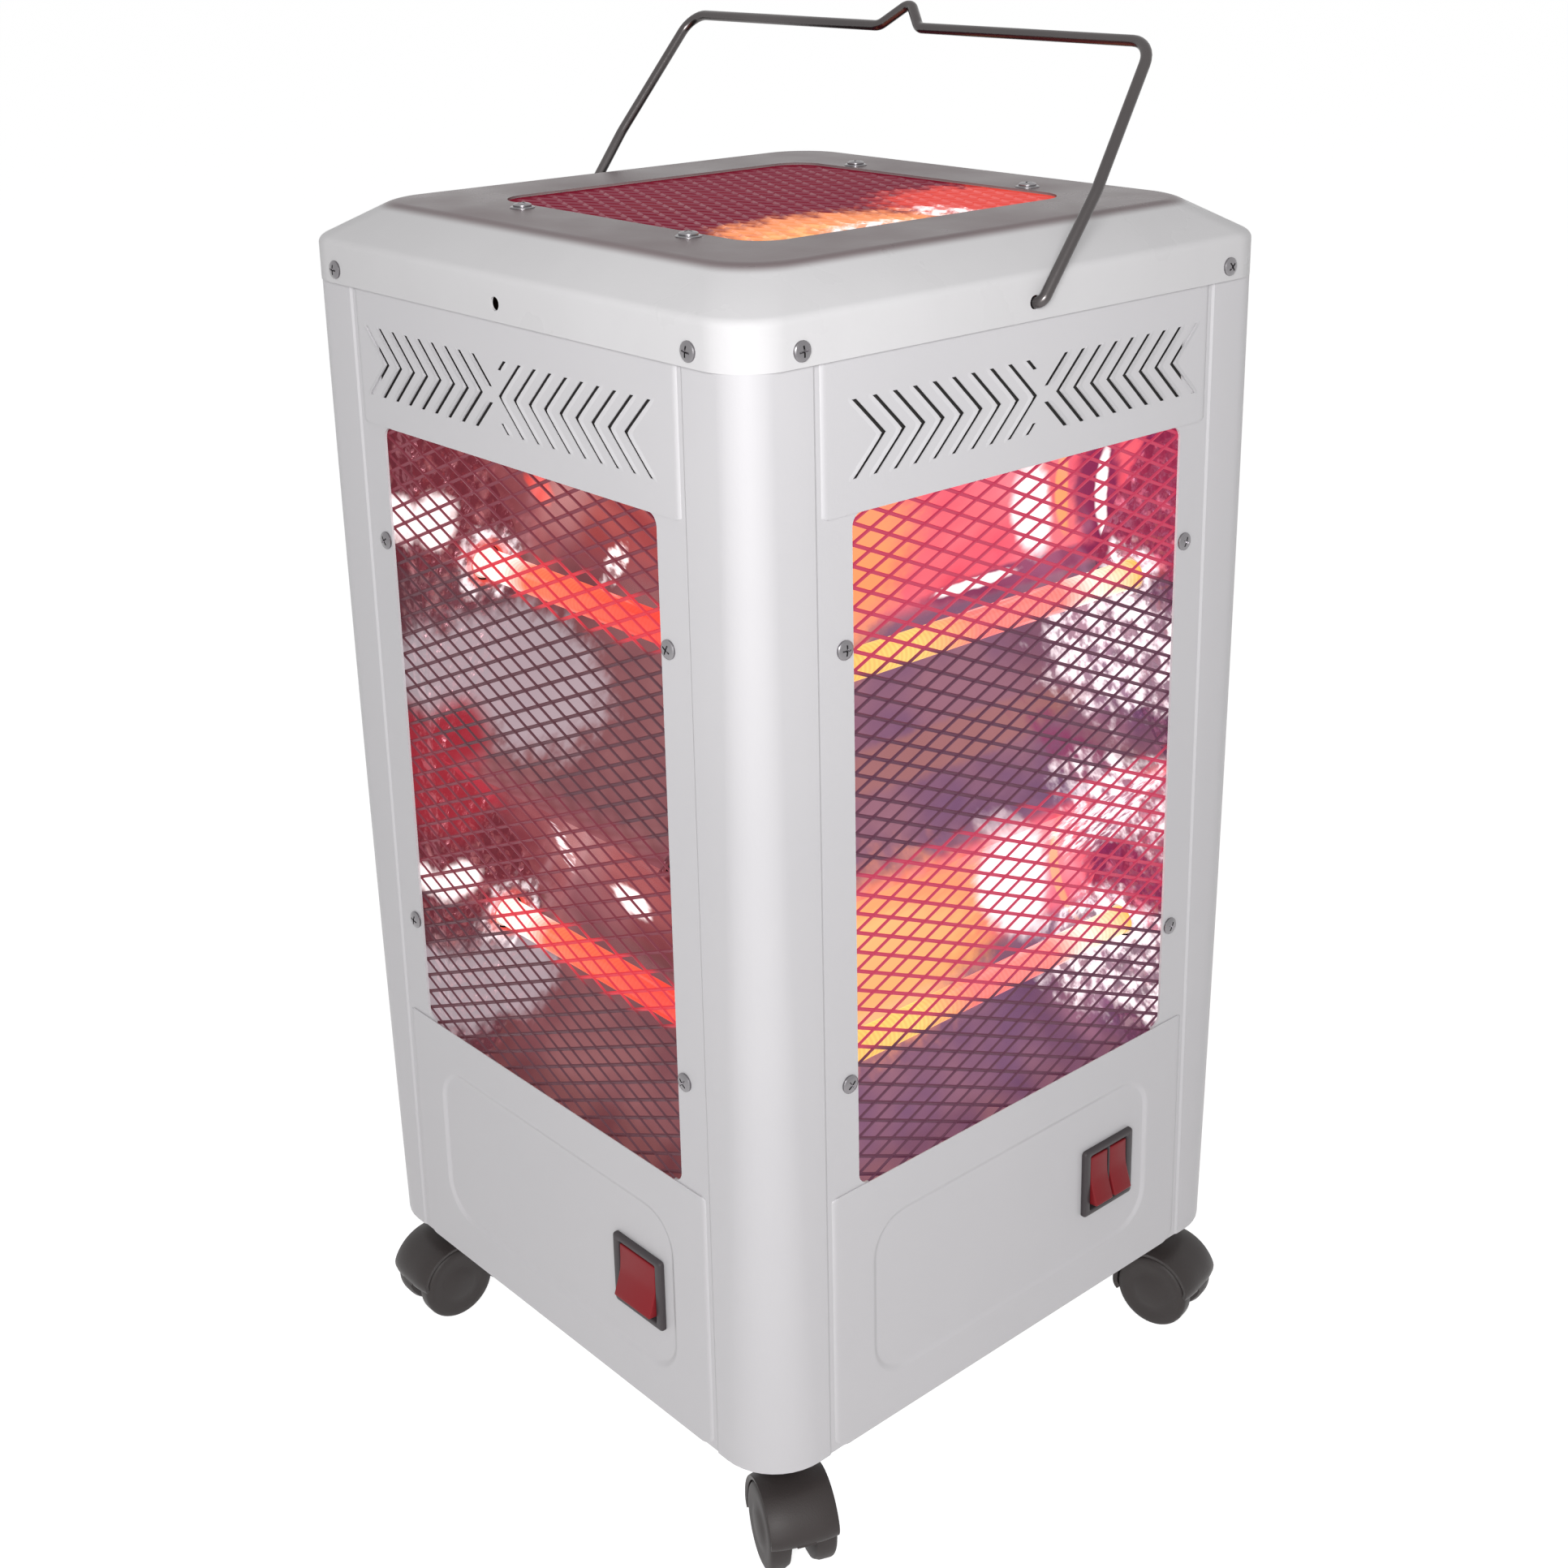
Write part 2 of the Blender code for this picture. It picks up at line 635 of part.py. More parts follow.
def build_vent_panels():
    """Four louvred panels between the windows and the lid."""
    slots = []
    hoods = []
    for tip, pointing, share in louvre_plan():
        slots += chevron(tip, pointing, LOUVRE_SLOT, share)
        hoods += chevron(tip + LOUVRE_SLOT / 2, pointing, LOUVRE_HOOD, share)
    slot_mesh = prism_mesh("slots", slots, -BODY_HALF - OVERRUN, -BODY_HALF + OVERRUN)
    raised = hood_mesh(hoods)
    for side in SIDES:
        name = "vent_panel_" + side
        turn = side_turn(side)
        high = LID_SKIRT_LOW + VENT_TUCK
        mesh = panel_mesh(name, WINDOW_HIGH, high, PANEL_HIGH_RADIUS, False)
        panel = add_part(name, mesh, PAINT, turn)
        solidify(panel, SHEET)
        boolean(panel, add_cutter(name + "_hoods", raised, turn), 'UNION')
        boolean(panel, add_cutter(name + "_slots", slot_mesh, turn))


def diamonds(half_width, half_height, columns, rows):
    """Outlines of the staggered diamond holes that cover a guard."""
    pitch_x = 2 * half_width / columns
    pitch_z = 2 * half_height / rows
    reach_x = pitch_x / 2 - GUARD_STRAND
    reach_z = pitch_z / 2 - GUARD_STRAND * pitch_z / pitch_x
    outlines = []
    for row in range(2 * rows + 1):
        for column in range(2 * columns + 1):
            if (row + column) % 2:
                continue
            x = (column - columns) * pitch_x / 2
            z = (row - rows) * pitch_z / 2
            outlines.append([(x - reach_x, z), (x, z - reach_z), (x + reach_x, z), (x, z + reach_z)])
    return outlines


def guard_mesh(name, half_width, half_height):
    """A flat plate that becomes a guard, about its own middle, facing -Y."""
    return box_mesh(name, (2 * half_width, GUARD_THICK, 2 * half_height), (0, 0, 0))


def cut_diamonds(guard, half_width, half_height, columns, rows, matrix):
    """Cut the staggered diamonds, clipped to the guard's border."""
    inner_width = half_width - GUARD_BORDER
    inner_height = half_height - GUARD_BORDER
    outlines = diamonds(inner_width, inner_height, columns, rows)
    holes = prism_mesh("diamonds", outlines, -OVERRUN, OVERRUN)
    cutter = add_cutter(guard.name + "_diamonds", holes, matrix)
    frame_size = (2 * inner_width, 2 * GUARD_THICK + OVERRUN, 2 * inner_height)
    frame = add_cutter(guard.name + "_frame", box_mesh("frame", frame_size, (0, 0, 0)), matrix)
    boolean(cutter, frame, 'INTERSECT')
    boolean(guard, cutter)


def build_guards():
    """Expanded-metal guards, held between the post flanges and the panels."""
    half_height = (WINDOW_HIGH - WINDOW_LOW) / 2 + GUARD_TUCK
    middle = body_height(WINDOW_MIDDLE)
    depth = FLANGE_FACE + GAP + GUARD_THICK / 2
    for side in SIDES:
        name = "guard_" + side
        place = side_turn(side) @ Matrix.Translation((0, -depth, middle))
        guard = add_part(name, guard_mesh(name, GUARD_HALF, half_height), GUARD_STEEL, place)
        cut_diamonds(guard, GUARD_HALF, half_height, GUARD_COLUMNS, GUARD_ROWS, place)
    height = body_height(LID_TOP - LID_SHEET - GAP - GUARD_THICK / 2)
    lie_flat = Matrix.Translation((0, 0, height)) @ Matrix.Rotation(math.radians(-90), 4, 'X')
    name = "top_guard"
    top = add_part(name, guard_mesh(name, TOP_GUARD_HALF, TOP_GUARD_HALF), GUARD_STEEL, lie_flat)
    cut_diamonds(top, TOP_GUARD_HALF, TOP_GUARD_HALF, TOP_GUARD_CELLS, TOP_GUARD_CELLS, lie_flat)


def build_lid():
    """The pressed lid: skirt, sloping shoulder and a flat top with its window."""
    skirt_radius = POST_RADIUS + LID_HALF - BODY_HALF
    levels = (
        (LID_HALF, skirt_radius, LID_SKIRT_LOW),
        (LID_HALF, skirt_radius, LID_SKIRT_HIGH),
        (LID_TOP_HALF, LID_TOP_RADIUS, LID_TOP),
        (LID_WINDOW_HALF, LID_WINDOW_RADIUS, LID_TOP),
    )
    bm = bmesh.new()
    rings = []
    for half, radius, height in levels:
        loop = rounded_loop(half, half, radius, radius)
        rings.append([bm.verts.new((x, y, body_height(height))) for x, y, angle in loop])
    loft(bm, rings, False)
    mesh = mesh_from(bm, "lid")
    shade(mesh)
    lid = add_part("lid", mesh, PAINT)
    solidify(lid, LID_SHEET)
    holes = []
    height = body_height(PIVOT_HEIGHT)
    radius = clear_radius(WIRE_RADIUS, TUBE_STEPS)
    for side in SIDES:
        turn = side_turn(side)
        start = turn @ Vector((0, -LID_HALF - OVERRUN, height))
        end = turn @ Vector((0, -LID_HALF + 2 * OVERRUN, height))
        holes.append(rod_mesh("pivot_cut", radius, start, end, TUBE_STEPS))
    boolean(lid, add_cutter("lid_pivot_cuts", merge_meshes("pivot_cuts", holes)))


def socket_spot(corner):
    """Where the caster of a corner stands in plan."""
    x_sign = 1 if "right" in corner else -1
    y_sign = 1 if "back" in corner else -1
    return x_sign * SOCKET_PLACE, y_sign * SOCKET_PLACE


def build_base_pan():
    """The tray under everything, with a socket for each caster and vent slots."""
    half = FLANGE_FACE - SHEET - GAP
    radius = half - (BODY_HALF - POST_RADIUS)
    bm = bmesh.new()
    loop = rounded_loop(half, half, radius, radius)
    rings = []
    for height in (PAN_FLANGE, 0):
        rings.append([bm.verts.new((x, y, body_height(height))) for x, y, angle in loop])
    loft(bm, rings, True)
    pan = add_part("base_pan", mesh_from(bm, "base_pan"), PAN_STEEL)
    solidify(pan, SHEET, 1.0)
    sockets = []
    bores = []
    bore_radius = clear_radius(STEM_RADIUS, TUBE_STEPS)
    for corner in CORNERS:
        x, y = socket_spot(corner)
        low = (x, y, body_height(SHEET / 2))
        high = (x, y, body_height(SOCKET_HEIGHT))
        sockets.append(rod_mesh("socket", SOCKET_OUTER, low, high, TUBE_STEPS))
        start = (x, y, body_height(-OVERRUN))
        end = (x, y, body_height(SOCKET_HEIGHT + OVERRUN))
        bores.append(rod_mesh("bore", bore_radius, start, end, TUBE_STEPS))
    for row in range(PAN_SLOT_COUNT):
        place = (row - (PAN_SLOT_COUNT - 1) / 2) * PAN_SLOT_PITCH
        size = (PAN_SLOT_LENGTH, PAN_SLOT_WIDTH, 2 * OVERRUN)
        bores.append(box_mesh("slot", size, (0, place, body_height(0))))
    boolean(pan, add_cutter("pan_sockets", merge_meshes("sockets", sockets)), 'UNION')
    boolean(pan, add_cutter("pan_cuts", merge_meshes("pan_cuts", bores)))


def hood_outline():
    """Side view of a caster's hood about its axle: a barrel, open below."""
    outline = []
    for step in range(HOOD_STEPS + 1):
        angle = HOOD_TRAIL_ANGLE + (HOOD_LEAD_ANGLE - HOOD_TRAIL_ANGLE) * step / HOOD_STEPS
        x = TRAIL + HOOD_RADIUS * math.cos(angle)
        z = WHEEL_RADIUS + HOOD_RADIUS * math.sin(angle)
        outline.append((x, z))
    return outline


def build_casters():
    """Hooded twin-wheel casters, each turned to its own heading."""
    corner_radius = WHEEL_RADIUS / math.cos(math.pi / WHEEL_STEPS)
    for corner, heading in CASTER_HEADINGS.items():
        place = Matrix.Translation((*socket_spot(corner), 0))
        place = place @ Matrix.Rotation(math.radians(heading), 4, 'Z')
        name = "caster_" + corner
        mesh = prism_mesh(name, [hood_outline()], -HOOD_HALF_WIDTH, HOOD_HALF_WIDTH)
        hood = add_part(name, mesh, BLACK_PLASTIC, place)
        boss_foot = (0, 0, WHEEL_RADIUS + (HOOD_RADIUS + BOSS_RADIUS) / 2)
        boss = rod_mesh("boss", BOSS_RADIUS, boss_foot, (0, 0, CASTER_LIFT - GAP), TUBE_STEPS)
        boolean(hood, add_cutter(name + "_boss", boss, place), 'UNION')
        wells = []
        radius = corner_radius + HOOD_CLEARANCE
        for sign in (1, -1):
            near = sign * (WHEEL_SPACING / 2 - WHEEL_WIDTH / 2 - GAP)
            far = sign * (HOOD_HALF_WIDTH + OVERRUN)
            start = (TRAIL, near, WHEEL_RADIUS)
            end = (TRAIL, far, WHEEL_RADIUS)
            wells.append(rod_mesh("well", radius, start, end, WHEEL_STEPS))
        boolean(hood, add_cutter(name + "_wells", merge_meshes("wells", wells), place))
        stem_foot = (0, 0, CASTER_LIFT - BOSS_RADIUS / 2)
        stem_top = (0, 0, CASTER_LIFT + STEM_RISE)
        stem = rod_mesh("stem", STEM_RADIUS, stem_foot, stem_top, TUBE_STEPS)
        boolean(hood, add_cutter(name + "_stem", stem, place), 'UNION')
        axle_half = HOOD_HALF_WIDTH + AXLE_HEAD / 2
        axle_ends = [(TRAIL, sign * axle_half, WHEEL_RADIUS) for sign in (-1, 1)]
        axle = rod_mesh("axle", AXLE_RADIUS, *axle_ends, TUBE_STEPS)
        boolean(hood, add_cutter(name + "_axle", axle, place), 'UNION')
        heads = []
        for sign in (-1, 1):
            root = (TRAIL, sign * HOOD_HALF_WIDTH, WHEEL_RADIUS)
            tip = (TRAIL, sign * (HOOD_HALF_WIDTH + AXLE_HEAD), WHEEL_RADIUS)
            heads.append(rod_mesh("head", AXLE_HEAD_RADIUS, root, tip, TUBE_STEPS))
        boolean(hood, add_cutter(name + "_heads", merge_meshes("heads", heads), place), 'UNION')
        for label, sign in (("a", 1), ("b", -1)):
            build_wheel("wheel_" + corner + "_" + label, place, sign, corner_radius)


def build_wheel(name, place, sign, corner_radius):
    """One roller: a rounded tread on a plain bore, its axis along the axle."""
    half = WHEEL_WIDTH / 2
    bore = clear_radius(AXLE_RADIUS, WHEEL_STEPS)
    profile = [
        (bore, half),
        (corner_radius - WHEEL_ROUND, half),
        (corner_radius, half - WHEEL_ROUND),
        (corner_radius, WHEEL_ROUND - half),
        (corner_radius - WHEEL_ROUND, -half),
        (bore, -half),
    ]
    centre = Matrix.Translation((TRAIL, sign * WHEEL_SPACING / 2, WHEEL_RADIUS))
    lie_down = Matrix.Rotation(math.radians(90), 4, 'X')
    half_facet = Matrix.Rotation(math.pi / WHEEL_STEPS, 4, 'Z')
    turned(name, profile, WHEEL_STEPS, TYRE_PLASTIC, place @ centre @ lie_down @ half_facet)


def bend(before, corner, after, radius, steps):
    """Points of a round bend that replaces a sharp corner of a path."""
    before, corner, after = Vector(before), Vector(corner), Vector(after)
    incoming = (corner - before).normalized()
    outgoing = (after - corner).normalized()
    turn = incoming.angle(outgoing)
    setback = radius * math.tan(turn / 2)
    start = corner - incoming * setback
    centre = corner + (outgoing - incoming).normalized() * radius / math.cos(turn / 2)
    arm = start - centre
    axis = incoming.cross(outgoing)
    points = []
    for step in range(steps + 1):
        swing = Matrix.Rotation(turn * step / steps, 3, axis)
        points.append(centre + swing @ arm)
    return points


def bail_path():
    """The wire's centre line in the bail's own plane: X across, Z up from the pivots."""
    eye = (BAIL_LEG, 0, 0)
    knee = (BAIL_LEG, 0, BAIL_STRAIGHT)
    corner = (BAIL_BAR_HALF, 0, BAIL_REACH)
    foot = (KINK_HALF, 0, BAIL_REACH)
    crest = (0, 0, BAIL_REACH + KINK_RISE)
    half_path = [Vector((WIRE_INNER_END, 0, 0))]
    half_path += bend(half_path[0], eye, knee, BAIL_EYE_BEND, 2)
    half_path.append(Vector(knee))
    half_path += bend(knee, corner, foot, BAIL_CORNER_BEND, 3)
    half_path += bend(corner, foot, crest, KINK_FOOT_BEND, 2)
    mirrored = [Vector((-point.x, point.y, point.z)) for point in reversed(half_path)]
    left_foot = (-KINK_HALF, 0, BAIL_REACH)
    return half_path + bend(foot, crest, left_foot, KINK_CREST_BEND, 2) + mirrored


def build_handle():
    """The bail: one bent wire whose ends sit in the lid's pivot holes."""
    curve = bpy.data.curves.new("bail_wire", 'CURVE')
    curve.dimensions = '3D'
    curve.bevel_depth = WIRE_RADIUS
    curve.bevel_resolution = 2
    curve.use_fill_caps = True
    path = bail_path()
    spline = curve.splines.new('POLY')
    spline.points.add(len(path) - 1)
    for point, place in zip(spline.points, path):
        point.co = (*place, 1.0)
    curve.materials.append(WIRE_STEEL)
    handle = bpy.data.objects.new("carry_handle", curve)
    PARTS.objects.link(handle)
    handle.location = (0, 0, body_height(PIVOT_HEIGHT))
    handle.rotation_euler = (-BAIL_LEAN, 0, 0)


def mouth_columns(side):
    """Middle and half width of each rocker's mouth in the bezel of a side."""
    if side != DOUBLE_SWITCH_SIDE:
        return [("", 0, MOUTH_HALF_WIDTH)]
    half = (MOUTH_HALF_WIDTH - MOUTH_RIB / 2) / 2
    middle = MOUTH_RIB / 2 + half
    return [("_a", -middle, half), ("_b", middle, half)]


def build_switches():
    """A bezel on each lower panel with its rocker, or two side by side."""
    for side in SIDES:
        face = recess_face() + GAP + BEZEL_PROUD
        spot = (switch_place(side), -face, body_height(SWITCH_HEIGHT))
        place = side_turn(side) @ Matrix.Translation(spot)
        name = "switch_bezel_" + side
        flange_size = (2 * BEZEL_HALF_WIDTH, BEZEL_PROUD, 2 * BEZEL_HALF_HEIGHT)
        flange = box_mesh(name, flange_size, (0, BEZEL_PROUD / 2, 0))
        bezel = add_part(name, flange, BLACK_PLASTIC, place)
        half_width, half_height = bezel_body_half()
        body_length = BEZEL_BODY_DEPTH - BEZEL_PROUD / 2
        body_size = (2 * half_width, body_length, 2 * half_height)
        body = box_mesh("body", body_size, (0, BEZEL_PROUD / 2 + body_length / 2, 0))
        boolean(bezel, add_cutter(name + "_body", body, place), 'UNION')
        mouths = []
        pivots = []
        pivot_radius = clear_radius(PIN_RADIUS, PIN_STEPS)
        for label, middle, half in mouth_columns(side):
            mouth_size = (2 * half, 2 * MOUTH_DEPTH, 2 * MOUTH_HALF_HEIGHT)
            mouths.append(box_mesh("mouth", mouth_size, (middle, 0, 0)))
            reach = half + PIN_LENGTH
            start = (middle - reach, ROCKER_PIVOT_DEPTH, 0)
            end = (middle + reach, ROCKER_PIVOT_DEPTH, 0)
            pivots.append(rod_mesh("pivot", pivot_radius, start, end, PIN_STEPS))
            build_rocker("rocker_" + side + label, place, middle, half - GAP)
        boolean(bezel, add_cutter(name + "_mouths", merge_meshes("mouths", mouths), place))
        boolean(bezel, add_cutter(name + "_pivots", merge_meshes("pivots", pivots), place))


def build_rocker(name, place, middle, half_width):
    """A rocker about its pivot, tipped so that its top is pressed in."""
    outline = [
        (-ROCKER_HALF_HEIGHT, -ROCKER_TIP),
        (0, -ROCKER_DIP),
        (ROCKER_HALF_HEIGHT, -ROCKER_TIP),
        (ROCKER_HALF_HEIGHT - GAP, -ROCKER_SHOULDER),
        (ROCKER_KEEL_HALF, ROCKER_KEEL),
        (-ROCKER_KEEL_HALF, ROCKER_KEEL),
        (GAP - ROCKER_HALF_HEIGHT, -ROCKER_SHOULDER),
    ]
    flat = [(height, -depth) for height, depth in outline]
    mesh = prism_mesh(name, [flat], -half_width, half_width)
    mesh.transform(Matrix(((0, 1, 0, 0), (0, 0, -1, 0), (-1, 0, 0, 0), (0, 0, 0, 1))))
    pivot = place @ Matrix.Translation((middle, ROCKER_PIVOT_DEPTH, 0))
    tilt = pivot @ Matrix.Rotation(-ROCKER_TILT, 4, 'X')
    rocker = add_part(name, mesh, RED_PLASTIC, tilt)
    reach = half_width + PIN_LENGTH
    pins = rod_mesh("pins", PIN_RADIUS, (-reach, 0, 0), (reach, 0, 0), PIN_STEPS)
    boolean(rocker, add_cutter(name + "_pins", pins, tilt), 'UNION')


def trough_profile(unit):
    """Height and depth of the points of two troughs, from low to high."""
    half = unit.spacing / 2
    points = []
    for sign in (-1, 1):
        low = -unit.end if sign < 0 else -half
        high = half if sign < 0 else unit.end
        for step in range(TROUGH_STEPS + 1):
            if sign > 0 and step == 0:
                continue
            height = low + (high - low) * step / TROUGH_STEPS
            rise = abs(height / half) ** TROUGH_POWER
            depth = unit.back - (unit.back - unit.front) * rise
            points.append((sign * half + height, depth))
    return points


def reflector(name, unit, matrix):
    """A double trough with end plates and ears: X along it, Y into its depth."""
    # The gauge of ears that turn inward is added in front of them
    ear_depth = unit.ear_depth + (REFLECTOR_SHEET if unit.ear < 0 else 0)
    bm = bmesh.new()
    profile = trough_profile(unit)
    low, high = profile[0][0], profile[-1][0]
    rails = {}
    for sign in (-1, 1):
        x = sign * unit.half
        rails[sign] = [bm.verts.new((x, depth, height)) for height, depth in profile]
    for here in range(len(profile) - 1):
        there = here + 1
        bm.faces.new((rails[-1][here], rails[1][here], rails[1][there], rails[-1][there]))
    for sign in (-1, 1):
        x = sign * unit.half
        corners = [(x, low), (x, high), (x + sign * unit.ear, high), (x + sign * unit.ear, low)]
        root_low, root_high, tip_high, tip_low = [
            bm.verts.new((x, ear_depth, z)) for x, z in corners]
        if sign > 0:
            bm.faces.new([*reversed(rails[sign]), root_low, root_high])
            bm.faces.new((root_high, root_low, tip_low, tip_high))
        else:
            bm.faces.new([*rails[sign], root_high, root_low])
            bm.faces.new((root_low, root_high, tip_high, tip_low))
    thing = add_part(name, mesh_from(bm, name), MIRROR_METAL, matrix)
    solidify(thing, REFLECTOR_SHEET)
    reach = unit.half + 2 * OVERRUN
    radius = clear_radius(TUBE_RADIUS, TUBE_STEPS)
    holes = []
    for sign in (-1, 1):
        height = sign * unit.spacing / 2
        start = (-reach, unit.tube_depth, height)
        end = (reach, unit.tube_depth, height)
        holes.append(rod_mesh("tube_cut", radius, start, end, TUBE_STEPS))
    boolean(thing, add_cutter(name + "_tube_cuts", merge_meshes("tube_cuts", holes), matrix))


def quartz_tube(name, half_length, ceramic, matrix):
    """A tube with its two ceramic ends, turned about its own axis along X."""
    inner = half_length + REFLECTOR_SHEET + GAP
    outer = inner + ceramic
    profile = [
        (0, outer),
        (CERAMIC_RADIUS, outer),
        (CERAMIC_RADIUS, inner),
        (TUBE_RADIUS, inner),
        (TUBE_RADIUS, -inner),
        (CERAMIC_RADIUS, -inner),
        (CERAMIC_RADIUS, -outer),
        (0, -outer),
    ]
    lie_down = Matrix.Rotation(math.radians(90), 4, 'Y')
    turned(name, profile, TUBE_STEPS, HOT_QUARTZ, matrix @ lie_down)


def build_heating_units():
    """A reflector and two tubes behind each window, and one set under the lid."""
    trough = {
        "spacing": TUBE_SPACING,
        "end": TUBE_SPACING / 2 - TROUGH_TRIM,
        "front": TROUGH_FRONT,
        "back": TROUGH_BACK,
        "ear_depth": EAR_DEPTH,
    }
    long_unit = Unit(half=LONG_UNIT_HALF, tube_depth=LONG_TUBE_DEPTH, ear=-LONG_EAR, **trough)
    short_unit = Unit(half=SHORT_UNIT_HALF, tube_depth=SHORT_TUBE_DEPTH, ear=SHORT_EAR, **trough)
    for side in SIDES:
        is_long = side in ("right", "left")
        unit = long_unit if is_long else short_unit
        height = LONG_UNIT_MIDDLE if is_long else SHORT_UNIT_MIDDLE
        ceramic = CERAMIC_LONG if is_long else CERAMIC_SHORT
        middle = (0, -BODY_HALF, body_height(height))
        place = side_turn(side) @ Matrix.Translation(middle)
        reflector("reflector_" + side, unit, place)
        for label, sign in (("lower", -1), ("upper", 1)):
            offset = Matrix.Translation((0, unit.tube_depth, sign * TUBE_SPACING / 2))
            quartz_tube("quartz_tube_" + side + "_" + label, unit.half, ceramic, place @ offset)


def build_top_unit():
    """The reflector and two tubes under the lid's window, facing up."""
    unit = Unit(
        half=TOP_UNIT_HALF,
        spacing=TOP_TUBE_SPACING,
        end=TOP_TUBE_SPACING / 2,
        front=TOP_TROUGH_FRONT,
        back=TOP_TROUGH_BACK,
        tube_depth=TOP_TUBE_DEPTH,
        ear_depth=0,
        ear=TOP_GUARD_OVERLAP,
    )
    flange = body_height(LID_TOP - LID_SHEET - GUARD_THICK - 2 * GAP)
    face_up = Matrix(((0, 0, -1, 0), (1, 0, 0, 0), (0, -1, 0, flange), (0, 0, 0, 1)))
    reflector("reflector_top", unit, face_up)
    for label, sign in (("right", -1), ("left", 1)):
        offset = Matrix.Translation((0, unit.tube_depth, sign * TOP_TUBE_SPACING / 2))
        quartz_tube("quartz_tube_top_" + label, unit.half, CERAMIC_SHORT, face_up @ offset)


def build_gland():
    """The cable inlet in the back panel, with the panel's edge in its groove."""
    face = recess_face() + GAP
    back = SHEET + 2 * GAP
    profile = [
        (GLAND_NECK - GAP, GLAND_FLANGE),
        (GLAND_RADIUS, GLAND_FLANGE / 2),
        (GLAND_RADIUS, 0),
        (GLAND_NECK, 0),
        (GLAND_NECK, -back),
        (GLAND_RADIUS, -back),
        (GLAND_RADIUS, -back - GLAND_FLANGE),
        (GLAND_NECK, -back - GLAND_FLANGE),
        (GLAND_NECK, -GLAND_TAIL),
        (GLAND_BORE, -GLAND_TAIL),
        (GLAND_BORE, GLAND_FLANGE),
    ]
    face_out = Matrix.Rotation(math.radians(90), 4, 'X')
    spot = Matrix.Translation((GLAND_PLACE, -face, body_height(GLAND_HEIGHT)))
    turned("cable_gland", profile, TUBE_STEPS, BLACK_PLASTIC, side_turn(GLAND_SIDE) @ spot @ face_out)


def build_base_fittings():
    """The terminal block and the tilt switch on the floor of the base pan."""
    floor = body_height(SHEET + GAP)
    length, width, height = TERMINAL_SIZE
    x, y = TERMINAL_PLACE
    mesh = box_mesh("terminal_block", TERMINAL_SIZE, (x, y, floor + height / 2))
    block = add_part("terminal_block", mesh, CERAMIC)
    wells = []
    pitch = length / TERMINAL_WELLS
    for index in range(TERMINAL_WELLS):
        place = x + (index - (TERMINAL_WELLS - 1) / 2) * pitch
        size = (pitch / 2, width / 2, 2 * TERMINAL_WELL_DEPTH)
        wells.append(box_mesh("well", size, (place, y, floor + height)))
    boolean(block, add_cutter("terminal_wells", merge_meshes("wells", wells)))
    length, width, height = TILT_SIZE
    x, y = TILT_PLACE
    mesh = box_mesh("tilt_switch", TILT_SIZE, (x, y, floor + height / 2))
    switch = add_part("tilt_switch", mesh, BLACK_PLASTIC)
    start = (x, y, floor + height / 2)
    end = (x, y, floor + height + TILT_BUTTON_RISE)
    button = rod_mesh("button", TILT_BUTTON_RADIUS, start, end, TUBE_STEPS)
    boolean(switch, add_cutter("tilt_button", button), 'UNION')


def main():
    """Build every piece in place."""
    build_base_pan()
    build_posts()
    build_lower_panels()
    build_vent_panels()
    build_guards()
    build_lid()
    build_handle()
    build_casters()
    build_switches()
    build_heating_units()
    build_top_unit()
    build_gland()
    build_base_fittings()


main()
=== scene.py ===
"""Looks of the portable quartz heater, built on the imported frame.

Sheet-metal skins with pressed edges, louvred vents, expanded-metal guards, glowing
quartz tubes before polished troughs, screws, rocker switches, casters and bail.
Front is -Y, up is +Z, and every length is in metres.
"""
import math

import bmesh
import bpy
from mathutils import Matrix, Vector, noise


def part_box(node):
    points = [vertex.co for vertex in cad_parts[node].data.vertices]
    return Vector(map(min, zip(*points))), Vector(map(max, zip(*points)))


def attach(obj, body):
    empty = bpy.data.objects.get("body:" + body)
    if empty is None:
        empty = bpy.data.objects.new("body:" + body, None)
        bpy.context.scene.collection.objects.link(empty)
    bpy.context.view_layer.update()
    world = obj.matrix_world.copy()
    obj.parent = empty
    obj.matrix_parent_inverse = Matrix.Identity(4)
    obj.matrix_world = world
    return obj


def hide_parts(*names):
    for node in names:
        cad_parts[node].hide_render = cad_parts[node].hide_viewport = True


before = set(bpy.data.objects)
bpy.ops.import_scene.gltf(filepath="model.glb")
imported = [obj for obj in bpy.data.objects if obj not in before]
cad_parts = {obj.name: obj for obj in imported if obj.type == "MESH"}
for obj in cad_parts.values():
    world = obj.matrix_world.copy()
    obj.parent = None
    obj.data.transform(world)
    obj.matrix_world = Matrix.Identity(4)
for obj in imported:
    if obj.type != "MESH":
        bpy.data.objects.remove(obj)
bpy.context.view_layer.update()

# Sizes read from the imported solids
PANEL_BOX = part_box("lower_panel_front")
VENT_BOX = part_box("vent_panel_front")
POST_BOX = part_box("post_front_right")
LID_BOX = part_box("lid")
GUARD_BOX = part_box("guard_front")
BASE = POST_BOX[0].z
BODY_HALF = -PANEL_BOX[0].y
WINDOW_LOW = PANEL_BOX[1].z
WINDOW_HIGH = VENT_BOX[0].z
LID_HALF = LID_BOX[1].x
LID_TOP = LID_BOX[1].z
SKIRT_LOW = LID_BOX[0].z

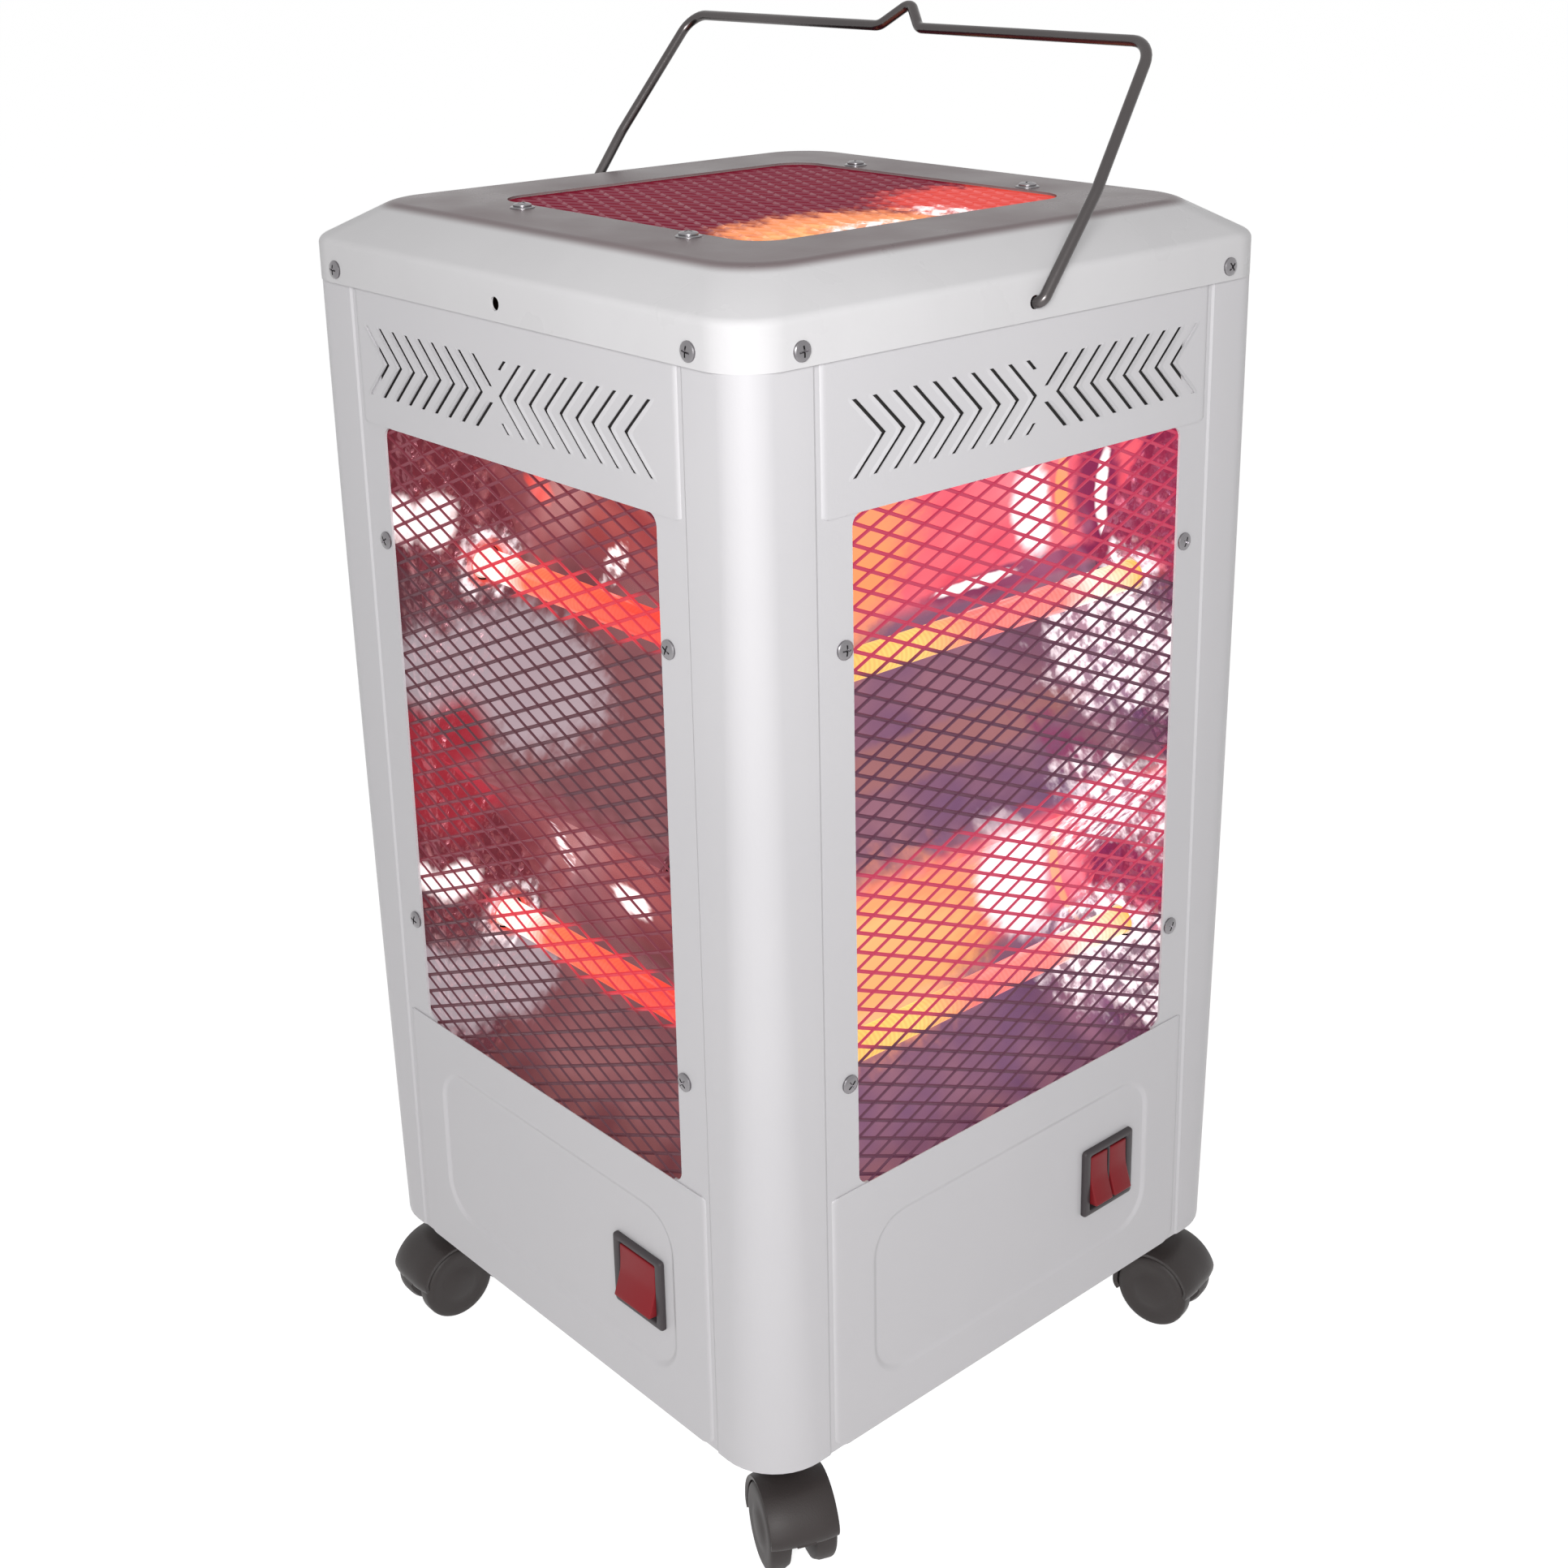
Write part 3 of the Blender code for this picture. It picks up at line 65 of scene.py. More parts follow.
# Sheet metal
GAUGE = 0.0006
POST_GAUGE = 0.0010
POST_CORNER_HIGH = 0.0140
POST_CORNER_LOW = 0.0260
FLANGE_DEPTH = 0.0006
FLANGE_EDGE = 0.0905
GUARD_DEPTH = BODY_HALF - 0.0024
GUARD_HALF = 0.0960
WINDOW_FILLET = 0.0050
WEB_LAP = 0.0010
STEP_INSET = 0.0328
STEP_RUN = 0.0012
FACE_HALF = 0.1035
ROLL_RUN = 0.0020
ROLL_DROP = 0.0011
ROLL_SHARES = ((1.0, 1.0), (0.85, 0.62), (0.55, 0.30), (0.25, 0.10), (0.0, 0.0))
RECESS_MARGIN = 0.0195
RECESS_WALL = 0.0028
RECESS_DEPTH = 0.0011
RECESS_CORNER = 0.0180
PANEL_LOW_CORNER = 0.0060
PANEL_HIGH_CORNER = 0.0015

# Louvres, each group by its side, first tip, pitch, count and the start of its middle arms
LOUVRE_GROUPS = ((1, -0.0041, 0.0098, 9, 0.0103), (-1, 0.0143, 0.0096, 8, 0.0031))
LOUVRE_HALF = 0.01425
LOUVRE_DROP = 0.0013
SLOT = 0.0022
HOOD_WIDTH = 0.0030
HOOD_RISE = 0.0004
HOOD_GAUGE = 0.0003
HOOD_SPARE = 0.0012
HOOD_SINK = 0.00005
HOOD_TIP_RADIUS = 0.0006
HOOD_TIP_DROP = 0.0004
HOOD_START_SHARE = 1.2
HOOD_ACROSS_SHARES = (0.0, 0.10, 0.24, 0.42, 0.62, 0.82, 1.0)
VENT_GAUGE = 0.0004
SHIELD_HALF = 0.0900
SHIELD_DEPTH = 0.0010
SHIELD_GAUGE = 0.0004
SHIELD_LOW_GAP = 0.0040
SHIELD_HIGH_GAP = 0.0020

# Expanded metal
DIAMOND_LONG = 0.0181
DIAMOND_SHORT = 0.0080
STRAND_WIDTH = 0.0013
STRAND_GAUGE = 0.0008
GUARD_COLUMNS = 12
GLOW_RISE = 0.0180
GLOW_PITCH = 0.1547

# Lid
SKIRT_HIGH_DROP = 0.0145
SLOPE_RUN = 0.0218
LID_MARGIN = 0.0360
LID_GAUGE = 0.0010
SKIRT_CORNER = 0.0200
FLAT_CORNER = 0.0220
WINDOW_CORNER = 0.0145
PIVOT_RISE = 0.0068
PIVOT_HOLE = 0.0027
PIVOT_HEIGHT = SKIRT_LOW + PIVOT_RISE

# Screws, heights above the body's underside
SCREW_RADIUS = 0.0038
SCREW_RISE = 0.0017
SCREW_SLOT_LONG = 0.0042
SCREW_SLOT_SHORT = 0.0007
SKIRT_SCREWS = ((-0.1150, 0.4495), (0.1150, 0.4495))
FLANGE_SCREWS = ((-0.0950, 0.1624), (0.0950, 0.1624), (-0.0950, 0.3378), (0.0950, 0.3378))
LID_SCREWS = ((-0.0530, -0.0910), (0.0530, -0.0910), (-0.0530, 0.0910), (0.0530, 0.0910))
WASHER_RADIUS = 0.0050

# Casters
WHEEL_RADIUS = 0.0175
WHEEL_WIDTH = 0.0095
WHEEL_SPACING = 0.0186
TRAIL = 0.0180
HOOD_RADIUS = 0.0215
HOOD_HALF = 0.01435
HOOD_SHELL = 0.0022
HOOD_BARREL = 0.0018
HOOD_ROLL = 0.0016
HOOD_ROLL_ARC = 14
WHEEL_GAP = 0.0006
PAN_GAP = 0.0004
BOSS_LOW = 0.0150
HOOD_TRAIL = 8
HOOD_LEAD = 196
BOSS_RADIUS = 0.0110
SOCKET_PLACE = 0.1110
HEADINGS = {"front_right": -24, "front_left": -92, "back_right": 12, "back_left": 135}

# Bail
WIRE_RADIUS = 0.00225
WIRE_END = 0.1330
BAIL_LEG = 0.1452
BAIL_BAR_HALF = 0.1380
BAIL_STRAIGHT = 0.0480
BAIL_REACH = 0.1120
KINK_HALF = 0.0120
KINK_RISE = 0.0120
BAIL_LEAN = 37

# Switches
MOUTH_HALF_WIDTH = 0.0120
MOUTH_HALF_HEIGHT = 0.0134
MOUTH_RIB = 0.0030
RIB_SHOWN = 0.0008
RIB_HALF_HEIGHT = 0.0136
ROCKER_EDGE = 0.0006
BEZEL_HALF_WIDTH = 0.0158
BEZEL_HALF_HEIGHT = 0.0162
SWITCH_RISE = 0.0560
SWITCH_CUT_HALF_WIDTH = 0.0137
SWITCH_CUT_HALF_HEIGHT = 0.0151
GLAND_HOLE = 0.0070
ROCKER_HALF_HEIGHT = 0.0115
ROCKER_PIVOT = 0.0040
ROCKER_TILT = 10
SWITCH_PLACE = {"front": 0.0603, "right": 0.0570, "back": 0.0603, "left": 0.0603}

# Heating units: half length, lower tube's height, tube depth, ear and ceramic
TUBE_RADIUS = 0.00625
TUBE_PITCH = 0.1640
CERAMIC_RADIUS = 0.0072
TROUGH_FRONT = 0.0090
TROUGH_BACK = 0.0550
TROUGH_POWER = 1.55
TROUGH_END = 0.0760
EAR_FAR = 0.0040
EAR_NEAR = 0.0140
REFLECTOR_GAUGE = 0.0006
COLLAR_RADIUS = 0.0140
COLLAR_GAUGE = 0.0004
LONG_UNIT = (0.1030, 0.1500, 0.0350, -0.0060, 0.0115)
SHORT_UNIT = (0.0770, 0.1600, 0.0370, 0.0250, 0.0058)
TUBE_HOLE = 0.0078
CRUMPLE = 0.0014
TOP_HALF = 0.0840
TOP_PITCH = 0.0840
TOP_FRONT = 0.0050
TOP_BACK = 0.0380
TOP_DEPTH = 0.0230
TOP_EDGE = 0.0004
TOP_EAR = 0.0120
TOP_CRUMPLE = 0.0010
TOP_CERAMIC = 0.0058
TOP_CLEARANCE = 0.0003

# Camera: azimuth, elevation and roll in degrees, place, lens in mm and shift
CAMERA_TURN = (47.3636, 17.6673, -0.6061)
CAMERA_PLACE = (0.6822, -0.5902, 0.6509)
CAMERA_LENS = 50.23
CAMERA_SHIFT = (-0.0440, -0.1351)

# Light: lamps by name, place, size, power and target
LAMPS = (
    ("key", (0.80, -0.72, 0.78), 0.35, 10.5, (0, 0, 1.0)),
    ("fill", (1.5, -1.5, 0.55), 1.6, 10.0, (0, 0, 0.28)))
FLOOR_RADIUS = 14.0
FLOOR_GLOW = 0.75
SKY_LIGHT = 0.31

SIDES = ("front", "right", "back", "left")
LONG_SIDES = ("right", "left")
CORNERS = ("front_right", "back_right", "back_left", "front_left")
BODY = "heater_body"


# Mesh helpers

def side_turn(side):
    """Turn something made on the front face to another face."""
    return Matrix.Rotation(math.radians(90 * SIDES.index(side)), 4, 'Z')


def spot(x, y, z):
    """A move, with the height above the body's underside."""
    return Matrix.Translation((x, y, BASE + z))


def turn(degrees, axis):
    """A rotation about one axis."""
    return Matrix.Rotation(math.radians(degrees), 4, axis)


def new_object(name, data):
    """Link a mesh, curve, lamp or camera to the scene as an object at the origin."""
    thing = bpy.data.objects.new(name, data)
    bpy.context.scene.collection.objects.link(thing)
    return thing


def smooth(mesh, angle=35):
    """Smooth shading whose real edges stay sharp."""
    mesh.shade_smooth()
    mesh.set_sharp_from_angle(angle=math.radians(angle))
    return mesh


def mesh_from(bm, name, angle=35):
    """Finish a bmesh as a smooth mesh."""
    mesh = bpy.data.meshes.new(name)
    bm.to_mesh(mesh)
    bm.free()
    return smooth(mesh, angle)


def join_meshes(name, meshes):
    """Several meshes as one, with their shading kept."""
    bm = bmesh.new()
    for mesh in meshes:
        bm.from_mesh(mesh)
        bpy.data.meshes.remove(mesh)
    joined = bpy.data.meshes.new(name)
    bm.to_mesh(joined)
    bm.free()
    return joined


def placed(mesh, matrix):
    """Move a mesh's points, turning its faces back out where the move mirrors them."""
    mesh.transform(matrix)
    if matrix.determinant() < 0:
        mesh.flip_normals()
    return mesh


def evaluated(thing):
    """Apply an object's modifiers and give the plain mesh that they make."""
    bpy.context.view_layer.update()
    graph = bpy.context.evaluated_depsgraph_get()
    mesh = bpy.data.meshes.new_from_object(thing.evaluated_get(graph))
    bpy.data.objects.remove(thing)
    return mesh


def solidified(mesh, thickness, cutters=(), angle=35):
    """Give an open sheet its gauge on its inner side, then cut holes in it."""
    thing = new_object("sheet", mesh)
    if thickness:
        gauge = thing.modifiers.new("gauge", 'SOLIDIFY')
        gauge.thickness = thickness
        gauge.offset = -1.0
        gauge.use_even_offset = True
    tools = []
    for cutter in cutters:
        tool = new_object("cutter", cutter)
        tools.append(tool)
        cut = thing.modifiers.new("cut", 'BOOLEAN')
        cut.operation = 'DIFFERENCE'
        cut.solver = 'EXACT'
        cut.object = tool
    result = evaluated(thing)
    for tool in tools:
        bpy.data.objects.remove(tool)
    return smooth(result, angle)


def bevelled(mesh, width, segments=2, angle=30):
    """Round the sharp edges of a closed piece."""
    thing = new_object("piece", mesh)
    bevel = thing.modifiers.new("round", 'BEVEL')
    bevel.width = width
    bevel.segments = segments
    bevel.limit_method = 'ANGLE'
    bevel.angle_limit = math.radians(angle)
    bevel.harden_normals = False
    return smooth(evaluated(thing), 50)


def round_corners(points, radii, steps):
    """A path with an arc in place of each inner corner."""
    points = [Vector(point) for point in points]
    path = [points[0]]
    for index in range(1, len(points) - 1):
        before, corner, after = points[index - 1:index + 2]
        radius = radii[index - 1] if isinstance(radii, (list, tuple)) else radii
        incoming = (corner - before).normalized()
        outgoing = (after - corner).normalized()
        bend = incoming.angle(outgoing)
        start = corner - incoming * radius * math.tan(bend / 2)
        centre = corner + (outgoing - incoming).normalized() * radius / math.cos(bend / 2)
        axis = incoming.cross(outgoing)
        for step in range(steps + 1):
            swing = Matrix.Rotation(bend * step / steps, 3, axis)
            path.append(centre + swing @ (start - centre))
    path.append(points[-1])
    return path


def rounded_loop(half_x, half_y, radius, steps, low_radius=None):
    """Points round a rounded rectangle as (x, y, angle), anticlockwise from low right."""
    low_radius = radius if low_radius is None else low_radius
    points = []
    for side, level, corner, start in (
            (1, -1, low_radius, -90), (1, 1, radius, 0),
            (-1, 1, radius, 90), (-1, -1, low_radius, 180)):
        for step in range(steps + 1):
            angle = math.radians(start + 90 * step / steps)
            x = side * (half_x - corner) + corner * math.cos(angle)
            y = level * (half_y - corner) + corner * math.sin(angle)
            points.append((x, y, angle))
    return points


def bridge(bm, outer, inner, closed=True):
    """Quads between two chains of equally many vertices."""
    count = len(outer) if closed else len(outer) - 1
    for here in range(count):
        there = (here + 1) % len(outer)
        bm.faces.new((outer[here], outer[there], inner[there], inner[here]))


def grid_sheet(rows, name, closed=False, capped=False, angle=35):
    """A sheet through rows of points, with a face across its last row where it is capped."""
    bm = bmesh.new()
    lines = [[bm.verts.new(point) for point in row] for row in rows]
    for lower, upper in zip(lines, lines[1:]):
        bridge(bm, lower, upper, closed)
    if capped:
        bm.faces.new(lines[-1])
    return mesh_from(bm, name, angle)


def lathe(name, profile, steps, angle=35, closed=False):
    """A turned body about Z through (radius, height) points."""
    bm = bmesh.new()
    rings = []
    for radius, height in profile:
        if radius == 0:
            rings.append([bm.verts.new((0, 0, height))])
            continue
        ring = []
        for step in range(steps):
            place = 2 * math.pi * step / steps
            ring.append(bm.verts.new((radius * math.cos(place), radius * math.sin(place), height)))
        rings.append(ring)
    pairs = list(zip(rings, rings[1:]))
    if closed:
        pairs.append((rings[-1], rings[0]))
    for upper, lower in pairs:
        for step in range(steps):
            after = (step + 1) % steps
            corners = [upper[step % len(upper)], upper[after % len(upper)],
                       lower[after % len(lower)], lower[step % len(lower)]]
            bm.faces.new([vert for at, vert in enumerate(corners) if vert not in corners[:at]])
    bmesh.ops.recalc_face_normals(bm, faces=bm.faces)
    return mesh_from(bm, name, angle)


def drill_mesh(radius, reach, steps):
    """A cylinder along Z that cuts a hole."""
    return lathe("drill", [(0, reach), (radius, reach), (radius, -reach), (0, -reach)], steps)


def turned_path(profile, radius, steps=3):
    """Round the inner corners of a turned profile."""
    path = round_corners([(r, 0, h) for r, h in profile], radius, steps)
    return [(max(point.x, 0), point.z) for point in path]


def rectangle(low_x, low_z, high_x, high_z):
    """The corners of an upright rectangle in X and Z."""
    return [(low_x, low_z), (high_x, low_z), (high_x, high_z), (low_x, high_z)]


def prisms(name, outlines, low, high):
    """Flat outlines in X and Z, drawn out along Y from low to high."""
    bm = bmesh.new()
    for outline in outlines:
        near = [bm.verts.new((x, low, z)) for x, z in outline]
        far = [bm.verts.new((x, high, z)) for x, z in outline]
        bridge(bm, near, far)
        bm.faces.new(near)
        bm.faces.new(far[::-1])
    bmesh.ops.recalc_face_normals(bm, faces=bm.faces)
    return mesh_from(bm, name, 30)


def wire_along(path, radius):
    """A round wire along a path, closed at both ends."""
    curve = bpy.data.curves.new("wire", 'CURVE')
    curve.dimensions = '3D'
    curve.bevel_depth = radius
    curve.bevel_resolution = 6
    curve.use_fill_caps = True
    spline = curve.splines.new('POLY')
    spline.points.add(len(path) - 1)
    for point, place in zip(spline.points, path):
        point.co = (*place, 1.0)
    return smooth(evaluated(new_object("wire", curve)), 50)


# Geometry Nodes

def start_tree(name, inputs):
    """A geometry tree with a Geometry in and out and named inputs."""
    tree = bpy.data.node_groups.new(name, "GeometryNodeTree")
    face = tree.interface
    face.new_socket("Geometry", in_out='OUTPUT', socket_type='NodeSocketGeometry')
    face.new_socket("Geometry", in_out='INPUT', socket_type='NodeSocketGeometry')
    for label, kind in inputs:
        face.new_socket(label, in_out='INPUT', socket_type=kind)
    return tree, tree.nodes.new("NodeGroupInput")


def node(tree, kind, links=(), **settings):
    """Add a node, set its properties, and link or set its inputs."""
    made = tree.nodes.new(kind)
    for key, value in settings.items():
        setattr(made, key, value)
    for socket, source in dict(links).items():
        if hasattr(source, "links"):
            tree.links.new(source, made.inputs[socket])
        else:
            made.inputs[socket].default_value = source
    return made


def sum_of(tree, operation, *values, **settings):
    """A math node's result."""
    return node(tree, "ShaderNodeMath", dict(enumerate(values)), operation=operation, **settings).outputs[0]


def end_tree(tree, geometry, material):
    """Realize the instances, set the finish and close the tree."""
    real = node(tree, "GeometryNodeRealizeInstances", {0: geometry})
    finish = node(tree, "GeometryNodeSetMaterial", {"Geometry": real.outputs[0], "Material": material})
    out = tree.nodes.new("NodeGroupOutput")
    tree.links.new(finish.outputs[0], out.inputs[0])


def strand_lattice_tree():
    """Expanded metal: the strand that comes in, laid up and down on every half diamond."""
    tree, given = start_tree("expanded_metal", (
        ("Columns", 'NodeSocketInt'), ("Rows", 'NodeSocketInt'),
        ("Long Pitch", 'NodeSocketFloat'), ("Short Pitch", 'NodeSocketFloat'),
        ("Finish", 'NodeSocketMaterial')))
    halves, counts, spans = [], [], []
    for count, pitch in (("Columns", "Long Pitch"), ("Rows", "Short Pitch")):
        half = sum_of(tree, 'DIVIDE', given.outputs[pitch], 2.0)
        double = sum_of(tree, 'MULTIPLY', given.outputs[count], 2.0)
        halves.append(half)
        counts.append(double)
        spans.append(sum_of(tree, 'MULTIPLY', sum_of(tree, 'SUBTRACT', double, 1.0), half))
    grid = node(tree, "GeometryNodeMeshGrid", {
        "Size X": spans[0], "Size Y": spans[1], "Vertices X": counts[0], "Vertices Y": counts[1]})
    index = tree.nodes.new("GeometryNodeInputIndex").outputs[0]
    column = sum_of(tree, 'FLOOR', sum_of(tree, 'DIVIDE', index, counts[1]))
    row = sum_of(tree, 'MODULO', index, counts[1])
    odd = sum_of(tree, 'MODULO', sum_of(tree, 'ADD', column, row), 2.0)
    sign = sum_of(tree, 'MULTIPLY_ADD', odd, 2.0, -1.0)
    angle = sum_of(tree, 'MULTIPLY', sum_of(tree, 'ARCTAN2', halves[1], halves[0]), sign)
    swing = node(tree, "ShaderNodeCombineXYZ", {"Z": angle})
    laid = node(tree, "GeometryNodeInstanceOnPoints", {
        "Points": grid.outputs[0], "Instance": given.outputs["Geometry"], "Rotation": swing.outputs[0]})
    end_tree(tree, laid.outputs[0], given.outputs["Finish"])
    return tree


def row_tree():
    """The shape that comes in, repeated in a row."""
    tree, given = start_tree("row_of_shapes", (
        ("Count", 'NodeSocketInt'), ("Pitch", 'NodeSocketVector'), ("Finish", 'NodeSocketMaterial')))
    line = node(tree, "GeometryNodeMeshLine", {
        "Count": given.outputs["Count"], "Offset": given.outputs["Pitch"]}, mode='OFFSET')
    laid = node(tree, "GeometryNodeInstanceOnPoints", {
        "Points": line.outputs[0], "Instance": given.outputs["Geometry"]})
    end_tree(tree, laid.outputs[0], given.outputs["Finish"])
    return tree


def screw_tree():
    """The screw that comes in, set at every point of a plan and turned at random."""
    tree, given = start_tree("set_screws", (
        ("Plan", 'NodeSocketObject'), ("Seed", 'NodeSocketInt'), ("Finish", 'NodeSocketMaterial')))
    plan = node(tree, "GeometryNodeObjectInfo", {"Object": given.outputs["Plan"]})
    spin = node(tree, "FunctionNodeRandomValue", {"Seed": given.outputs["Seed"]}, data_type='FLOAT')
    spin.inputs[3].default_value = 6.28
    swing = node(tree, "ShaderNodeCombineXYZ", {"Z": spin.outputs[1]})
    laid = node(tree, "GeometryNodeInstanceOnPoints", {
        "Points": plan.outputs["Geometry"], "Instance": given.outputs["Geometry"],
        "Rotation": swing.outputs[0]})
    end_tree(tree, laid.outputs[0], given.outputs["Finish"])
    return tree


def grown(tree, seed_mesh, values):
    """Run a geometry tree on a seed mesh and give the plain mesh that it makes."""
    thing = new_object("seed", seed_mesh)
    modifier = thing.modifiers.new("grow", 'NODES')
    modifier.node_group = tree
    sockets = {item.name: item.identifier for item in tree.interface.items_tree if item.in_out == 'INPUT'}
    for label, value in values.items():
        modifier[sockets[label]] = value
    return evaluated(thing)


# Shader groups

def start_group(name, inputs, outputs):
    """A shader group with named sockets; gives the tree, its input and its output."""
    tree = bpy.data.node_groups.new(name, "ShaderNodeTree")
    for label, kind, value in inputs:
        socket = tree.interface.new_socket(label, in_out='INPUT', socket_type='NodeSocket' + kind)
        socket.default_value = value
    for label, kind in outputs:
        tree.interface.new_socket(label, in_out='OUTPUT', socket_type='NodeSocket' + kind)
    return tree, tree.nodes.new("NodeGroupInput"), tree.nodes.new("NodeGroupOutput")


def object_place(tree):
    """Object coordinates, which every pattern follows."""
    return tree.nodes.new("ShaderNodeTexCoord").outputs["Object"]


def part_of(tree, vector, axis):
    """One coordinate of a vector."""
    return node(tree, "ShaderNodeSeparateXYZ", {0: vector}).outputs[axis]


def noise_at(tree, where, scale, detail):
    """The value of a noise texture."""
    texture = node(tree, "ShaderNodeTexNoise", {"Vector": where, "Scale": scale, "Detail": detail})
    return texture.outputs["Fac"]


def mapped(tree, value, start, end, low=0.0, high=1.0, shape='LINEAR'):
    """A value brought from one range to another and held at both ends."""
    return node(tree, "ShaderNodeMapRange", {
        "Value": value, "From Min": start, "From Max": end, "To Min": low, "To Max": high},
        interpolation_type=shape).outputs[0]


def raise_surface(tree, shader, height, strength, distance):
    """Bump a surface by a height."""
    raised = node(tree, "ShaderNodeBump", {"Height": height, "Strength": strength, "Distance": distance})
    tree.links.new(raised.outputs[0], shader.inputs["Normal"])


def light_up(tree, shader, colour, strength=1.0):
    """Make a surface glow in a colour."""
    tree.links.new(colour, shader.inputs["Emission Color"])
    shader.inputs["Emission Strength"].default_value = strength


def seen_rays(tree):
    """1 for the rays of the camera, of reflections and of clear pieces."""
    path = tree.nodes.new("ShaderNodeLightPath")
    seen = sum_of(tree, 'MAXIMUM', path.outputs["Is Camera Ray"], path.outputs["Is Glossy Ray"])
    return sum_of(tree, 'MAXIMUM', seen, path.outputs["Is Transmission Ray"])


def grain_group():
    """Fine grain and slow drift of a surface, as masks."""
    tree, given, out = start_group(
        "surface_grain", (("Fine Scale", 'Float', 900.0), ("Slow Scale", 'Float', 14.0)),
        (("Fine", 'Float'), ("Slow", 'Float')))
    where = object_place(tree)
    for label, detail in (("Fine", 3.0), ("Slow", 5.0)):
        grain = noise_at(tree, where, given.outputs[label + " Scale"], detail)
        tree.links.new(grain, out.inputs[label])
    return tree


def band_group():
    """Zones of a heating unit by height: 1 above each tube, 0 below it."""
    tree, given, out = start_group(
        "tube_bands", (("Lower Tube", 'Float', 0.2), ("Pitch", 'Float', 0.164), ("Softness", 'Float', 0.05)),
        (("Above", 'Float'), ("Rise", 'Float')))
    height = part_of(tree, object_place(tree), 2)
    rise = sum_of(tree, 'DIVIDE', sum_of(tree, 'SUBTRACT', height, given.outputs["Lower Tube"]),
                  given.outputs["Pitch"])
    part = sum_of(tree, 'FRACT', rise)
    lower = mapped(tree, part, 0.0, given.outputs["Softness"], shape='SMOOTHSTEP')
    upper = mapped(tree, part, *BAND_TOP, 1.0, 0.0, 'SMOOTHSTEP')
    above = sum_of(tree, 'MULTIPLY', lower, upper)
    tree.links.new(above, out.inputs["Above"])
    tree.links.new(part, out.inputs["Rise"])
    return tree


def patch_group():
    """A soft-edged patch round a place, leaning with height and crinkled at its rim."""
    tree, given, out = start_group(
        "glare_patch", (("Centre", 'Vector', (0, 0, 0)), ("Reach", 'Vector', (0.01, 0.01, 0.01)),
                        ("Lean", 'Vector', (0, 0, 0)), ("Crinkle", 'Float', 0.5)), (("Mask", 'Float'),))
    where = object_place(tree)
    away = node(tree, "ShaderNodeVectorMath", {0: where, 1: given.outputs["Centre"]}, operation='SUBTRACT')
    height = part_of(tree, away.outputs[0], 2)
    lean = node(tree, "ShaderNodeVectorMath", {0: given.outputs["Lean"], "Scale": height}, operation='SCALE')
    upright = node(tree, "ShaderNodeVectorMath", {0: away.outputs[0], 1: lean.outputs[0]}, operation='ADD')
    share = node(tree, "ShaderNodeVectorMath", {0: upright.outputs[0], 1: given.outputs["Reach"]},
                 operation='DIVIDE')
    far = node(tree, "ShaderNodeVectorMath", {0: share.outputs[0]}, operation='LENGTH').outputs["Value"]
    wave = sum_of(tree, 'SUBTRACT', noise_at(tree, where, 130.0, 3.0), 0.5)
    rough = sum_of(tree, 'MULTIPLY_ADD', wave, sum_of(tree, 'MULTIPLY', given.outputs["Crinkle"], 4.0), far)
    tree.links.new(mapped(tree, rough, *PATCH_RIM, 1.0, 0.0, 'SMOOTHSTEP'), out.inputs["Mask"])
    return tree


# Upper edge of a band as shares of the pitch, and rim of a patch as shares of its reach
BAND_TOP = (0.50, 0.53)
PATCH_RIM = (0.7, 1.15)
# Crinkle above which a patch sparkles, and the coil's rings in radians a metre
SPARKLING = 0.25
COIL_TURNS = 2600.0
GRAIN = grain_group()
BANDS = band_group()
PATCH = patch_group()


# Materials

def start_material(name, **plain):
    """A Principled material with plain values on its own sockets."""
    material = bpy.data.materials.new(name)
    material.use_nodes = True
    shader = material.node_tree.nodes["Principled BSDF"]
    for label, value in plain.items():
        socket = shader.inputs[label.replace("_", " ")]
        socket.default_value = (*value, 1.0) if isinstance(value, tuple) else value
    return material, material.node_tree, shader


def blend(tree, factor, first, second, mode='MIX'):
    """A colour between two colours, each a plain colour or a socket."""
    mix = node(tree, "ShaderNodeMix", data_type='RGBA', blend_type=mode)
    for socket, value in ((mix.inputs[0], factor), (mix.inputs[6], first), (mix.inputs[7], second)):
        if hasattr(value, "links"):
            tree.links.new(value, socket)
        elif isinstance(value, tuple):
            socket.default_value = (*value, 1.0)
        else:
            socket.default_value = value
    return mix.outputs[2]


def add_grain(tree, shader, fine_scale, slow_scale, bump, colours=None, roughness=None):
    """Give a material the shared grain: bump, colour drift and roughness drift."""
    grain = node(tree, "ShaderNodeGroup", node_tree=GRAIN)
    grain.inputs["Fine Scale"].default_value = fine_scale
    grain.inputs["Slow Scale"].default_value = slow_scale
    raise_surface(tree, shader, grain.outputs["Fine"], bump, 0.0003)
    colour = None
    if colours:
        colour = blend(tree, grain.outputs["Slow"], *colours)
        tree.links.new(colour, shader.inputs["Base Color"])
    if roughness:
        tree.links.new(mapped(tree, grain.outputs["Slow"], 0.3, 0.7, *roughness), shader.inputs["Roughness"])
    return grain, colour


def plain_finish(name, colours, roughness, fine_scale, bump, **plain):
    """A finish with grain, colour drift and roughness drift."""
    material, tree, shader = start_material(name, **plain)
    add_grain(tree, shader, fine_scale, 9.0, bump, colours, roughness)
    return material


